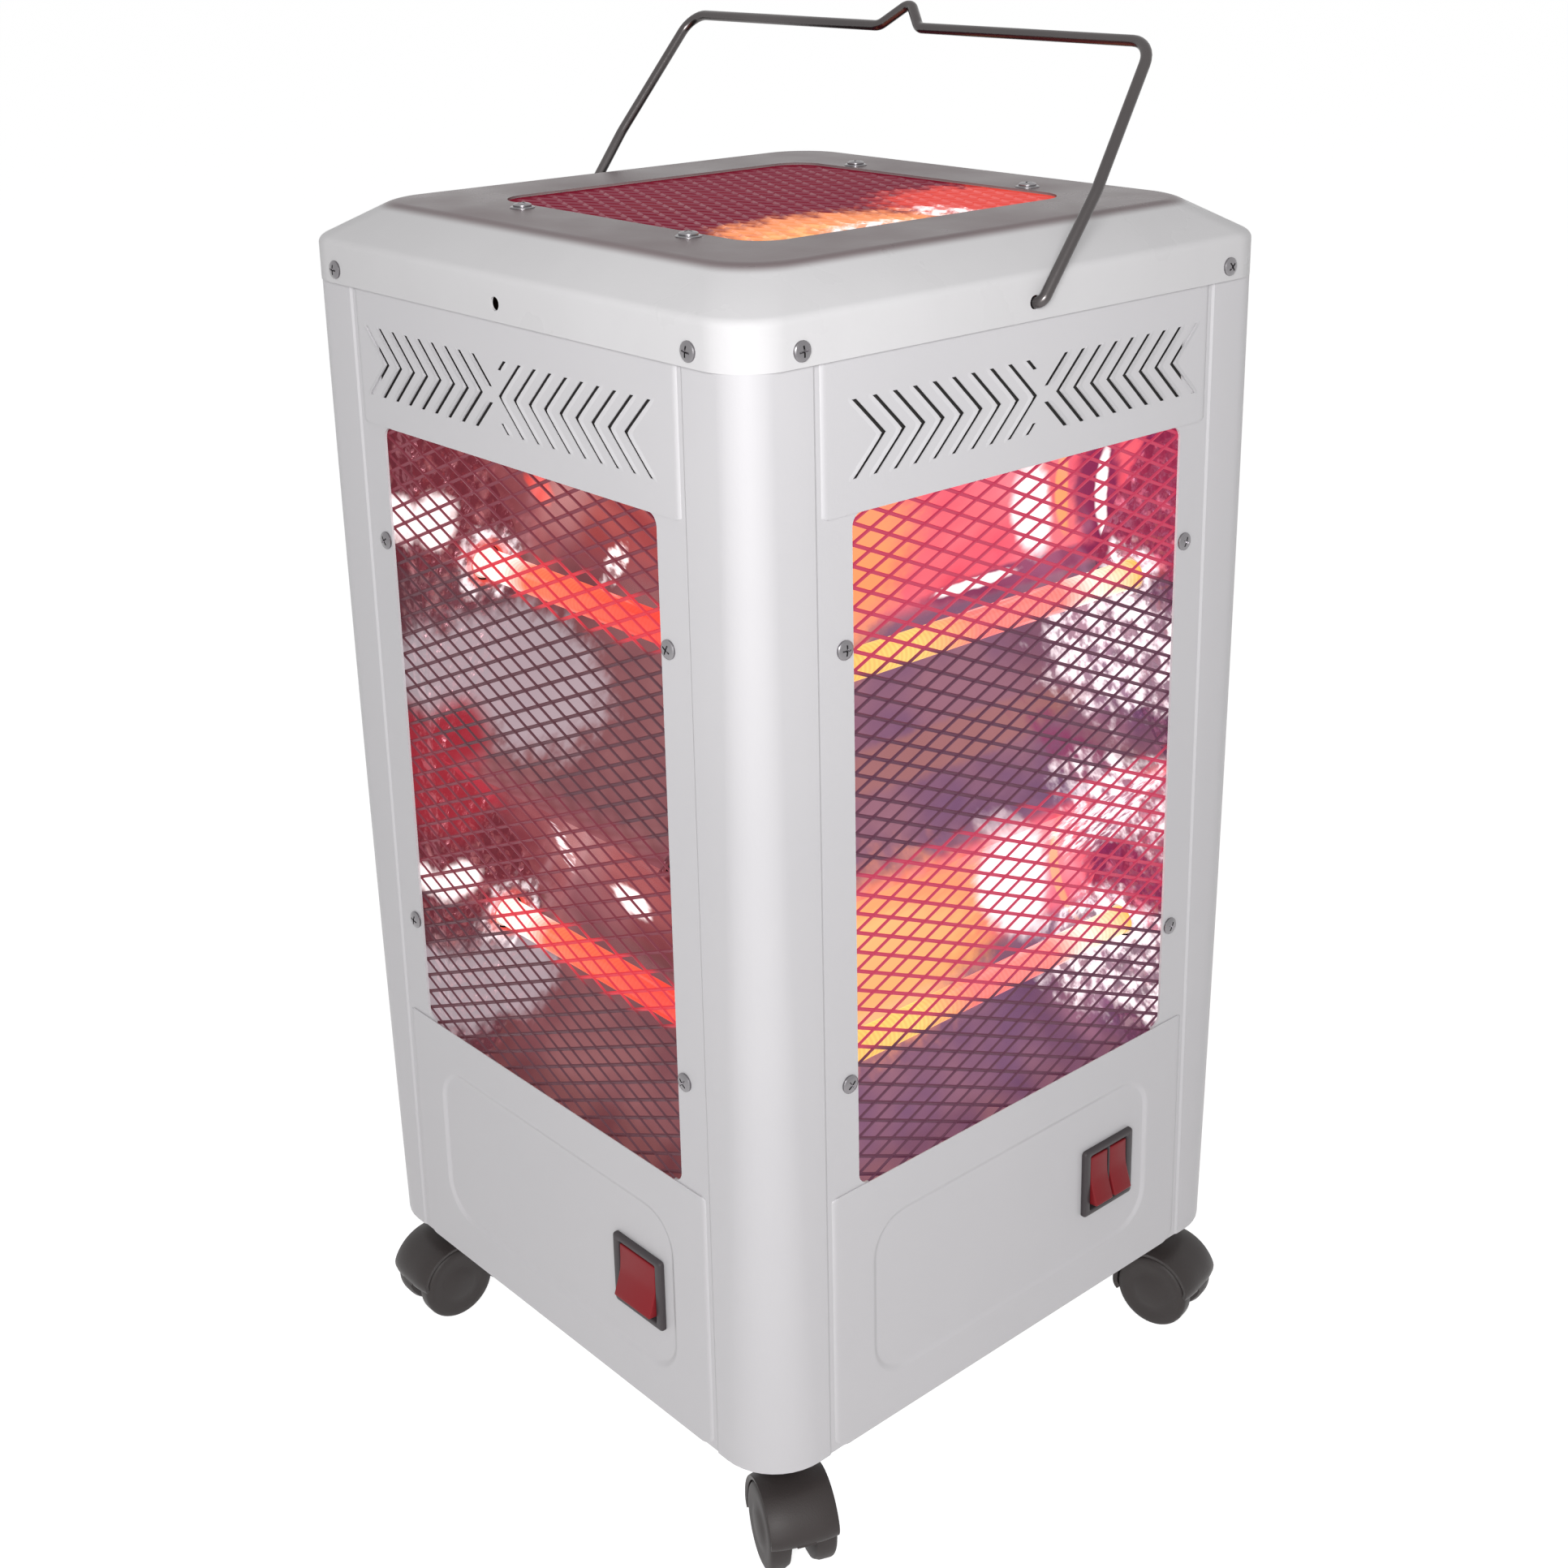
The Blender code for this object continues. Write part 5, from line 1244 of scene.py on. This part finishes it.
def caster_wheel(sign):
    """One wheel with a rounded tread and a dished outer face, about its own middle."""
    half = WHEEL_WIDTH / 2
    rim = WHEEL_RADIUS
    profile = [(0, half + 0.0009), (0.0060, half + 0.0008), (0.0075, half + 0.0002), (0.0110, half - 0.0002),
               (0.0135, half + 0.0002), (0.0147, half + 0.0001)]
    profile += [(rim - 0.0022 + 0.0022 * math.sin(math.radians(a)),
                 half - 0.0022 + 0.0022 * math.cos(math.radians(a))) for a in (10, 30, 50, 70, 90)]
    profile += [(rim, 0.0030 - half), (rim - 0.0009, 0.0009 - half), (rim - 0.0030, -half), (0.0034, -half)]
    mesh = lathe("wheel", [*profile, (0, -half)], 56)
    return placed(mesh, turn(-90 * sign, 'X'))


def make_casters():
    """Hooded twin-wheel casters, each turned to its own heading."""
    for corner, heading in HEADINGS.items():
        x = SOCKET_PLACE if "right" in corner else -SOCKET_PLACE
        y = SOCKET_PLACE if "back" in corner else -SOCKET_PLACE
        place = Matrix.Translation((x, y, WHEEL_RADIUS)) @ turn(heading, 'Z')
        place = place @ Matrix.Translation((TRAIL, 0, 0))
        mesh = placed(caster_hood(), place)
        dress("caster_hood_" + corner, mesh, HOOD_PLASTIC, "swivel_" + corner, "black_plastic",
              "caster_" + corner)
        for label, sign in (("a", 1), ("b", -1)):
            move = Matrix.Translation((0, sign * WHEEL_SPACING / 2, 0))
            mesh = placed(caster_wheel(sign), place @ move)
            name = corner + "_" + label
            dress("caster_wheel_" + name, mesh, WHEEL_PLASTIC, "roller_" + name, "wheel_plastic",
                  "wheel_" + name)


# Switches

def bezel_mesh(double):
    """A rounded bezel with its mouth, about its front face; a rib parts a double mouth."""
    outer = (BEZEL_HALF_WIDTH, BEZEL_HALF_HEIGHT)
    mouth = (MOUTH_HALF_WIDTH, MOUTH_HALF_HEIGHT)
    levels = [
        (outer, 0, 0.0022, 0.0016), (outer, 0, 0.0009, 0.0016), (outer, 0.0003, 0.0003, 0.0014),
        (outer, 0.0009, 0, 0.0010), (mouth, -0.0006, 0, 0.0012), (mouth, -0.0002, 0.0002, 0.0009),
        (mouth, 0, 0.0007, 0.0007), (mouth, 0, 0.0125, 0.0007)]
    rows = []
    for (half_x, half_z), inset, depth, radius in levels:
        loop = rounded_loop(half_x - inset, half_z - inset, radius, 5)
        rows.append([(x, depth, z) for x, z, angle in loop])
    bezel = grid_sheet(rows, "bezel", True, True, 50)
    if not double:
        return bezel
    x = RIB_SHOWN / 2
    rib = prisms("rib", [rectangle(-x, -RIB_HALF_HEIGHT, x, RIB_HALF_HEIGHT)], 0.0001, 0.012)
    return join_meshes("bezel", [bezel, bevelled(rib, 0.0003)])


def rocker_mesh(half_width):
    """A dished rocker about its pivot: X across, out of the face along -Y."""
    tip, dip, shoulder = -0.0056, -0.0040, -0.0010
    top = ROCKER_HALF_HEIGHT
    face = []
    for step in range(13):
        z = top * (1 - step / 6)
        face.append((z, dip + (tip - dip) * abs(z / top) ** 1.3))
    edge = top - 0.0003
    foot = 0.0036
    outline = [*face, (-edge, shoulder), (-foot, 0.0060), (foot, 0.0060), (edge, shoulder)]
    sideways = Matrix(((0, 1, 0, 0), (0, 0, 1, 0), (1, 0, 0, 0), (0, 0, 0, 1)))
    block = placed(prisms("rocker", [outline], -half_width, half_width), sideways)
    return bevelled(block, 0.0006, 3, 40)


def make_switches():
    """Bezels with one rocker, and the right face's with two."""
    face = -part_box("switch_bezel_front")[0].y
    for side in SIDES:
        double = side == "right"
        place = side_turn(side) @ spot(SWITCH_PLACE[side], -face, SWITCH_RISE)
        dress("bezel_" + side, placed(bezel_mesh(double), place), BEZEL_PLASTIC, BODY,
              "black_plastic", "switch_bezel_" + side)
        half = (MOUTH_HALF_WIDTH - MOUTH_RIB / 2) / 2
        columns = [("", 0, MOUTH_HALF_WIDTH)]
        if double:
            middle = MOUTH_RIB / 2 + half - ROCKER_EDGE
            columns = [("_a", -middle, half + ROCKER_EDGE), ("_b", middle, half + ROCKER_EDGE)]
        for label, middle, half_width in columns:
            pivot = place @ Matrix.Translation((middle, ROCKER_PIVOT, 0)) @ turn(-ROCKER_TILT, 'X')
            name = "rocker_" + side + label
            dress(name + "_cap", placed(rocker_mesh(half_width - 0.0003), pivot), ROCKER_RED,
                  name, "red_rocker", name)


# Heating units

# Emission colours of the units' reflectors and guards: painted glow, painted reflections and painted glare
LONG_METAL = ((0.10, 0.05, 0.08), (0.20, 0.10, 0.15))
SHORT_METAL = ((0.10, 0.04, 0.05), (0.18, 0.08, 0.09))
LONG_ABOVE = ((0.85, 0.085, 0.13), (0.95, 0.16, 0.19))
LONG_BELOW = ((0.13, 0.060, 0.125), (0.24, 0.105, 0.130))
LONG_PLATE = (((0.24, 0.022, 0.060), (0.75, 0.16, 0.24)), ((0.12, 0.045, 0.085), (0.34, 0.20, 0.24)))
SHORT_ABOVE = ((0.17, 0.036, 0.045), (0.25, 0.075, 0.080))
SHORT_BELOW = ((0.14, 0.044, 0.050), (0.21, 0.080, 0.080))
SHORT_PLATE = (((0.13, 0.024, 0.034), (0.28, 0.09, 0.10)), ((0.11, 0.035, 0.045), (0.26, 0.13, 0.14)))
TOP_GLOW = ((0.10, 0.010, 0.026), (0.42, 0.030, 0.055))
LONG_GUARD = ((0.52, 0.030, 0.080), (0.075, 0.018, 0.040))
SHORT_GUARD = ((0.17, 0.018, 0.028), (0.07, 0.018, 0.022))
TOP_GUARD_GLOW = (0.17, 0.008, 0.022)
NO_BANDS = 10.0
WHITE = (1.35, 1.15, 1.15)
PALE = (1.25, 1.08, 1.12)
SILVER = (0.40, 0.33, 0.36)
BROWN = (0.30, 0.12, 0.10)
AMBER = (1.0, 0.34, 0.12)
ORANGE = (1.0, 0.33, 0.13)
YELLOW = (1.0, 0.50, 0.19)
CRIMSON = (0.31, 0.026, 0.040)
RED = (0.75, 0.07, 0.05)
PLUM = (0.20, 0.020, 0.075)
# Painted glare and painted reflections on the front's and the right's units: colour, centre, reach, lean,
# crinkle
LONG_GLARE = (
    (ORANGE, (0.09, -0.050, 0.235), (0.2, 0.090, 0.056), (0, 0.4, 0), 0.1),
    (YELLOW, (0.09, -0.062, 0.225), (0.2, 0.088, 0.042), (0, 0.5, 0), 0.1),
    (BROWN, (0.10, -0.010, 0.3175), (0.2, 0.090, 0.0085), (0, 0, 0), 0.1),
    (ORANGE, (0.09, -0.075, 0.400), (0.2, 0.055, 0.048), (0, 0.2, 0), 0.1),
    (PLUM, (0.09, 0.055, 0.372), (0.2, 0.062, 0.0065), (0, 0, 0), 0.1),
    (PLUM, (0.10, 0.085, 0.403), (0.2, 0.016, 0.036), (0, 0.72, 0), 0.1),
    (PLUM, (0.10, 0.112, 0.415), (0.2, 0.012, 0.036), (0, 0.5, 0), 0.2),
    (PLUM, (0.10, 0.078, 0.268), (0.2, 0.020, 0.050), (0, 0.72, 0), 0.2),
    (AMBER, (0.10, 0.0585, 0.4095), (0.2, 0.0042, 0.026), (0, 0.72, 0), 0.05),
    (WHITE, (0.10, 0.0440, 0.4040), (0.2, 0.0120, 0.028), (0, 0.72, 0), 0.1),
    (WHITE, (0.10, 0.0880, 0.4030), (0.2, 0.0040, 0.030), (0, 0.66, 0), 0.1),
    (AMBER, (0.10, 0.0645, 0.2370), (0.2, 0.0030, 0.044), (0, 0.755, 0), 0.05),
    (WHITE, (0.09, 0.026, 0.3735), (0.2, 0.024, 0.0030), (0, 0, 0), 0.2),
    (PLUM, (0.10, 0.104, 0.2450), (0.2, 0.014, 0.034), (0, 0, 0), 0.3),
    (WHITE, (0.10, 0.0330, 0.2430), (0.2, 0.0220, 0.046), (0, 0.755, 0), 0.1),
    (PALE, (0.10, 0.100, 0.3300), (0.2, 0.040, 0.0270), (0, 0.1, 0), 0.3),
    (PALE, (0.12, 0.076, 0.2680), (0.2, 0.036, 0.0300), (0, 0.6, 0), 0.3),
    (PALE, (0.10, 0.106, 0.1840), (0.2, 0.038, 0.0280), (0, 0, 0), 0.3),
    (PALE, (0.105, 0.103, 0.364), (0.0150, 0.006, 0.0150), (0, 0, 0), 0.3),
    (PALE, (0.105, 0.103, 0.200), (0.0150, 0.006, 0.0150), (0, 0, 0), 0.3))
SHORT_GLARE = (
    (SILVER, (-0.052, -0.11, 0.330), (0.058, 0.2, 0.026), (0.2, 0, 0), 0.2),
    (WHITE, (-0.004, -0.09, 0.387), (0.0070, 0.2, 0.012), (-0.9, 0, 0), 0.4),
    (PALE, (-0.022, -0.10, 0.262), (0.0050, 0.2, 0.018), (-0.7, 0, 0), 0.4),
    (SILVER, (-0.085, -0.115, 0.180), (0.03, 0.2, 0.022), (0, 0, 0), 0.2),
    (CRIMSON, (-0.085, -0.125, 0.285), (0.04, 0.022, 0.036), (0, 0, 0), 0.05),
    (WHITE, (-0.085, -0.128, 0.3975), (0.03, 0.012, 0.0135), (0, 0, 0), 0.2),
    (WHITE, (-0.085, -0.128, 0.2335), (0.03, 0.012, 0.0100), (0, 0, 0), 0.2),
    (PALE, (-0.077, -0.103, 0.374), (0.004, 0.0165, 0.0165), (0, 0, 0), 0.3),
    (PALE, (-0.077, -0.103, 0.210), (0.004, 0.0165, 0.0165), (0, 0, 0), 0.3),
    (RED, (-0.077, -0.103, 0.374), (0.004, 0.0120, 0.0120), (0, 0, 0), 0.05),
    (RED, (-0.077, -0.103, 0.210), (0.004, 0.0120, 0.0120), (0, 0, 0), 0.05),
    (RED, (-0.037, -0.10, 0.4145), (0.009, 0.2, 0.0095), (-0.5, 0, 0), 0.2),
    (WHITE, (0.0085, -0.10, 0.2435), (0.013, 0.2, 0.0120), (-0.5, 0, 0), 0.2))
# Painted red glow on the short sides' guards
GUARD_GLOW = (
    ((0.72, 0.022, 0.035), (0.040, -0.14, 0.3937), (0.085, 0.2, 0.0125), (0, 0, 0), 0.05),
    ((0.72, 0.022, 0.035), (0.040, -0.14, 0.2413), (0.085, 0.2, 0.0125), (0, 0, 0), 0.05))
TOP_GLARE = (
    (RED, (0.060, 0.060, 0.515), (0.050, 0.050, 0.030), (0, 0, 0), 0.2),
    (ORANGE, (0.075, -0.035, 0.515), (0.045, 0.062, 0.030), (0, 0, 0), 0.2),
    (YELLOW, (0.082, -0.038, 0.515), (0.028, 0.048, 0.030), (0, 0, 0), 0.3),
    (WHITE, (0.082, -0.022, 0.515), (0.020, 0.024, 0.030), (0, 0, 0), 0.3),
    (WHITE, (0.070, 0.027, 0.515), (0.020, 0.013, 0.030), (0, 0, 0), 0.3))

# Looks of the long and the short units: metal, trough's painted glow, end plates' painted glow, painted
# glare and tubes' strength
LONG_LOOKS = (LONG_METAL, (LONG_ABOVE, LONG_BELOW), LONG_PLATE, LONG_GLARE, 1.15)
SHORT_LOOKS = (SHORT_METAL, (SHORT_ABOVE, SHORT_BELOW), SHORT_PLATE, SHORT_GLARE, 1.2)
TOP_STRENGTH = 1.6


def turned_patch(patch, side):
    """A patch of the front's or the right's unit, turned half round for the face opposite."""
    colour, centre, reach, lean, crinkle = patch
    if side in ("back", "left"):
        centre = (-centre[0], -centre[1], centre[2])
        lean = (-lean[0], -lean[1], 0)
    return colour, centre, reach, lean, crinkle


def trough_points(pitch, end, front, back, steps):
    """Height and depth of the points of two troughs, from low to high."""
    half = pitch / 2
    points = []
    for sign in (-1, 1):
        low = -end if sign < 0 else -half
        high = half if sign < 0 else end
        for step in range(steps + 1):
            if sign > 0 and step == 0:
                continue
            height = low + (high - low) * step / steps
            depth = back - (back - front) * abs(height / half) ** TROUGH_POWER
            points.append((sign * half + height, depth))
    return points


def end_plate(profile, x, front, crumple, seed):
    """A crumpled end plate between the trough's edge and its front, facing inwards."""
    rows = []
    for height, depth in profile:
        row = []
        edge = min(front, depth - 0.0030)
        for step in range(11):
            share = step / 10
            y = depth + (edge - depth) * share
            fold = noise.noise(Vector((height * 130, y * 130, seed))) * crumple
            fade = min(1.0, 6 * share) * min(1.0, 6 * (1 - share))
            row.append((x - math.copysign(abs(fold) * fade, x), y, height))
        rows.append(row)
    mesh = grid_sheet(rows, "end_plate")
    if x > 0:
        mesh.flip_normals()
    return mesh


def collar_mesh(inner):
    """The crimped collar round a tube hole: beads round a raised ring, facing +Z."""
    steps = 112
    rows = []
    for step in range(steps):
        angle = 2 * math.pi * step / steps
        bead = 0.5 + 0.5 * math.cos(14 * angle)
        row = []
        for radius, rise in ((inner, -0.0010), (inner + 0.0006, 0.0016), (inner + 0.0014, 0.0019),
                             (inner + 0.0026, 0.0008), (COLLAR_RADIUS - 0.0026, 0.0010 + 0.0012 * bead),
                             (COLLAR_RADIUS - 0.0012, 0.0008 + 0.0012 * bead), (COLLAR_RADIUS, -0.0002)):
            row.append((radius * math.cos(angle), radius * math.sin(angle), rise))
        rows.append(row)
    rows.append(rows[0])
    return grid_sheet(rows, "collar")


def mark_backs(mesh, axis, sign, front=-1.0):
    """Give the faces that look along an axis the second finish, save those before the front edge."""
    for face in mesh.polygons:
        face.material_index = int(face.normal[axis] * sign > 0.05 and face.center.y > front)
    return mesh


def unit_meshes(half, pitch, end, front, back, tube_depth, edges, ear, crumple, seed):
    """Trough sheet, end plates with collars, and ears: X along, Y into the depth."""
    profile = trough_points(pitch, end, front, back, 26)
    rows = [[(half * (2 * step / 24 - 1), depth, height) for step in range(25)] for height, depth in profile]
    trough = grid_sheet(rows, "trough")
    trough.flip_normals()
    trough = mark_backs(solidified(trough, REFLECTOR_GAUGE), 1, 1)
    plates = []
    for sign, front_edge in zip((-1, 1), edges):
        x = sign * half
        plate = end_plate(profile, x * 0.9995, front_edge, crumple, seed + sign)
        drills = []
        for height in (-pitch / 2, pitch / 2):
            drill = drill_mesh(TUBE_HOLE, 0.006, 28)
            drills.append(placed(drill, Matrix.Translation((x, tube_depth, height)) @ turn(90, 'Y')))
        plate = solidified(plate, REFLECTOR_GAUGE, [join_meshes("drills", drills)])
        plates.append(mark_backs(plate, 0, sign, front_edge))
        for height in (-pitch / 2, pitch / 2):
            collar = solidified(collar_mesh(TUBE_HOLE), COLLAR_GAUGE)
            placed(collar, Matrix.Translation((x, tube_depth, height)) @ turn(-90 * sign, 'Y'))
            plates.append(mark_backs(collar, 0, sign))
        if ear:
            low, high = profile[0][0], profile[-1][0]
            tip = x + sign * ear
            plate = prisms("ear", [rectangle(x, low, tip, high)], front_edge, front_edge + REFLECTOR_GAUGE)
            plates.append(mark_backs(plate, 1, 1))
    return trough, join_meshes("plates", plates)


def tube_mesh(half):
    """A quartz tube with softly closed ends, along X."""
    inner = half + 0.0010
    profile = [(0, inner), (TUBE_RADIUS, inner), (TUBE_RADIUS, -inner), (0, -inner)]
    return placed(lathe("tube", turned_path(profile, 0.0006), 40), turn(90, 'Y'))


def ceramic_mesh(half, length):
    """The two ceramic ends of a tube, along X, each with a groove."""
    ends = []
    for sign in (-1, 1):
        inner = half + 0.0012
        outer = inner + length - 0.0003
        groove = inner + (length - 0.0003) * 0.6
        profile = [(0, outer), (CERAMIC_RADIUS, outer), (CERAMIC_RADIUS, groove + 0.0006),
                   (CERAMIC_RADIUS - 0.0006, groove), (CERAMIC_RADIUS, groove - 0.0006),
                   (CERAMIC_RADIUS, inner), (0, inner)]
        ends.append(placed(lathe("ceramic", turned_path(profile, 0.0003), 32), turn(90 * sign, 'Y')))
    return join_meshes("ceramics", ends)


def tube_colours(side):
    """Colours along a face's tubes, from low to high coordinate, and their strength."""
    if side == "right":
        return ((0.0, (1.0, 0.50, 0.11)), (0.36, (1.0, 0.62, 0.16)), (0.52, (1.0, 0.20, 0.18)),
                (0.76, (1.0, 0.24, 0.22)), (0.86, (1.2, 1.0, 0.85)), (1.0, (1.0, 0.52, 0.10)))
    if side == "left":
        return ((0.0, (1.0, 0.60, 0.20)), (0.35, (1.0, 0.26, 0.18)), (0.65, (1.0, 0.24, 0.16)),
                (1.0, (1.0, 0.60, 0.20)))
    return ((0.0, (1.2, 0.95, 0.85)), (0.13, (1.2, 1.0, 0.9)), (0.24, (1.0, 0.18, 0.08)),
            (0.7, (0.9, 0.055, 0.035)), (1.0, (0.9, 0.050, 0.040)))


def add_unit(label, meshes, finishes, place, tubes):
    """Dress a unit's trough, end plates and two tubes, and give the tubes' ceramics."""
    half, depth, pitch, ceramic, hot, ends = tubes
    trough, plates = (placed(mesh, place) for mesh in meshes)
    shiny, crumpled = finishes
    # The backs of the trough and end plates take the near-black painted shade
    dress("trough_" + label, trough, (shiny, SHADE_BLACK_STEEL), BODY, "mirror_aluminium", "reflector_" + label)
    dress("end_plates_" + label, plates, (crumpled, SHADE_BLACK_STEEL), BODY, "mirror_aluminium")
    ceramics = []
    for end, sign in zip(ends, (-1, 1)):
        shift = place @ Matrix.Translation((0, depth, sign * pitch / 2))
        name = label + "_" + end
        dress("glow_" + name, placed(tube_mesh(half), shift), hot, BODY, "hot_quartz", "quartz_tube_" + name)
        ceramics.append(placed(ceramic_mesh(half, ceramic), shift))
    return ceramics


def make_side_units():
    """A double trough and two tubes behind each window."""
    ceramics = []
    for index, side in enumerate(SIDES):
        is_long = side in LONG_SIDES
        half, low, depth, ear, ceramic = LONG_UNIT if is_long else SHORT_UNIT
        metal, trough_glow, plate_glow, glare, strength = LONG_LOOKS if is_long else SHORT_LOOKS
        meshes = unit_meshes(half, TUBE_PITCH, TROUGH_END, TROUGH_FRONT, TROUGH_BACK, depth,
                             (EAR_FAR, EAR_FAR if is_long else EAR_NEAR), ear, CRUMPLE, index * 7.0)
        patches = [turned_patch(patch, side) for patch in glare]
        rough = [patch for patch in patches if patch[4] >= SPARKLING] if is_long else patches
        finishes = (mirror_finish("trough_" + side, BASE + low, metal, *trough_glow, patches),
                    crinkled_finish("crumple_" + side, BASE + low, metal, *plate_glow, rough))
        reach = half if side in ("front", "right") else -half
        hot = tube_finish("hot_quartz_" + side, int(is_long), -reach, reach, tube_colours(side), strength)
        place = side_turn(side) @ spot(0, -BODY_HALF, low + TUBE_PITCH / 2)
        tubes = (half, depth, TUBE_PITCH, ceramic, hot, ("lower", "upper"))
        ceramics += add_unit(side, meshes, finishes, place, tubes)
    return ceramics


def make_top_unit(ceramics):
    """The trough and two tubes under the lid's window, facing up, and all the tubes' ceramics."""
    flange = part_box("top_guard")[0].z - TOP_CLEARANCE
    face_up = Matrix(((0, 0, -1, 0), (1, 0, 0, 0), (0, -1, 0, flange), (0, 0, 0, 1)))
    meshes = unit_meshes(TOP_HALF, TOP_PITCH, TOP_PITCH / 2, TOP_FRONT, TOP_BACK, TOP_DEPTH,
                         (TOP_EDGE, TOP_EDGE), TOP_EAR, TOP_CRUMPLE, 3.0)
    looks = (LONG_METAL, TOP_GLOW, TOP_GLOW, TOP_GLARE, NO_BANDS)
    finishes = (mirror_finish("trough_top", 0.0, *looks), crinkled_finish("crumple_top", 0.0, *looks))
    hot = tube_finish("hot_quartz_top", 1, -TOP_HALF, TOP_HALF, tube_colours("left"), TOP_STRENGTH)
    tubes = (TOP_HALF, TOP_DEPTH, TOP_PITCH, TOP_CERAMIC, hot, ("right", "left"))
    ceramics += add_unit("top", meshes, finishes, face_up, tubes)
    dress("tube_ceramics", join_meshes("tube_ceramics", ceramics), CERAMIC, BODY, "terminal_ceramic")


def finish_frame_nodes():
    """Finishes for the CAD nodes that stay as they are."""
    for name, material in (
            ("base_pan", PAN_STEEL), ("terminal_block", CERAMIC),
            ("tilt_switch", BEZEL_PLASTIC), ("cable_gland", HOOD_PLASTIC)):
        finish_node(name, material)


# Stage

def make_camera():
    """The photograph's camera."""
    azimuth, elevation, roll = (math.radians(angle) for angle in CAMERA_TURN)
    level = math.cos(elevation)
    back = Vector((math.sin(azimuth) * level, -math.cos(azimuth) * level, math.sin(elevation)))
    right = Vector((math.cos(azimuth), math.sin(azimuth), 0))
    up = back.cross(right)
    across = math.cos(roll) * right + math.sin(roll) * up
    rise = math.cos(roll) * up - math.sin(roll) * right
    data = bpy.data.cameras.new("camera")
    data.lens = CAMERA_LENS
    data.sensor_width = 36.0
    data.shift_x, data.shift_y = CAMERA_SHIFT
    data.clip_start = 0.01
    camera = new_object("camera", data)
    axes = Matrix((across, rise, back)).transposed().to_4x4()
    camera.matrix_world = Matrix.Translation(CAMERA_PLACE) @ axes
    bpy.context.scene.camera = camera


def make_lamp(name, place, size, power, target):
    """A soft square lamp that looks at a target."""
    data = bpy.data.lights.new(name, 'AREA')
    data.size = size
    data.energy = power
    lamp = new_object(name, data)
    lamp.location = place
    lamp.rotation_euler = (Vector(target) - Vector(place)).to_track_quat('-Z', 'Y').to_euler()


def make_stage():
    """A pale floor, a white backdrop for the camera, and soft lamps."""
    bm = bmesh.new()
    bmesh.ops.create_circle(bm, cap_ends=True, segments=48, radius=FLOOR_RADIUS)
    floor = new_object("floor", mesh_from(bm, "floor"))
    material, tree, shader = start_material(
        "floor_paper", Base_Color=(0.80, 0.80, 0.80), Roughness=0.9, Specular_IOR_Level=0.0)
    shader.inputs["Emission Color"].default_value = (1.0, 1.0, 1.0, 1.0)
    tree.links.new(sum_of(tree, 'MULTIPLY', seen_rays(tree), FLOOR_GLOW), shader.inputs["Emission Strength"])
    floor.data.materials.append(material)
    world = bpy.data.worlds.new("studio")
    bpy.context.scene.world = world
    world.use_nodes = True
    sky = world.node_tree
    light = sky.nodes["Background"]
    light.inputs["Color"].default_value = (1.0, 1.0, 1.0, 1.0)
    sky.links.new(mapped(sky, seen_rays(sky), 0.0, 1.0, SKY_LIGHT, 1.0), light.inputs["Strength"])
    for lamp in LAMPS:
        make_lamp(*lamp)


def main():
    """Build the looks in order."""
    lattice = strand_lattice_tree()
    row_of = row_tree()
    make_camera()
    make_stage()
    finish_frame_nodes()
    make_posts()
    make_lower_panels()
    make_vent_panels(row_of)
    make_vent_shields()
    make_guards(lattice)
    make_lid()
    make_screws(screw_tree())
    make_bail()
    make_casters()
    make_switches()
    make_top_unit(make_side_units())


main()
bpy.context.scene.view_settings.view_transform = 'Standard'
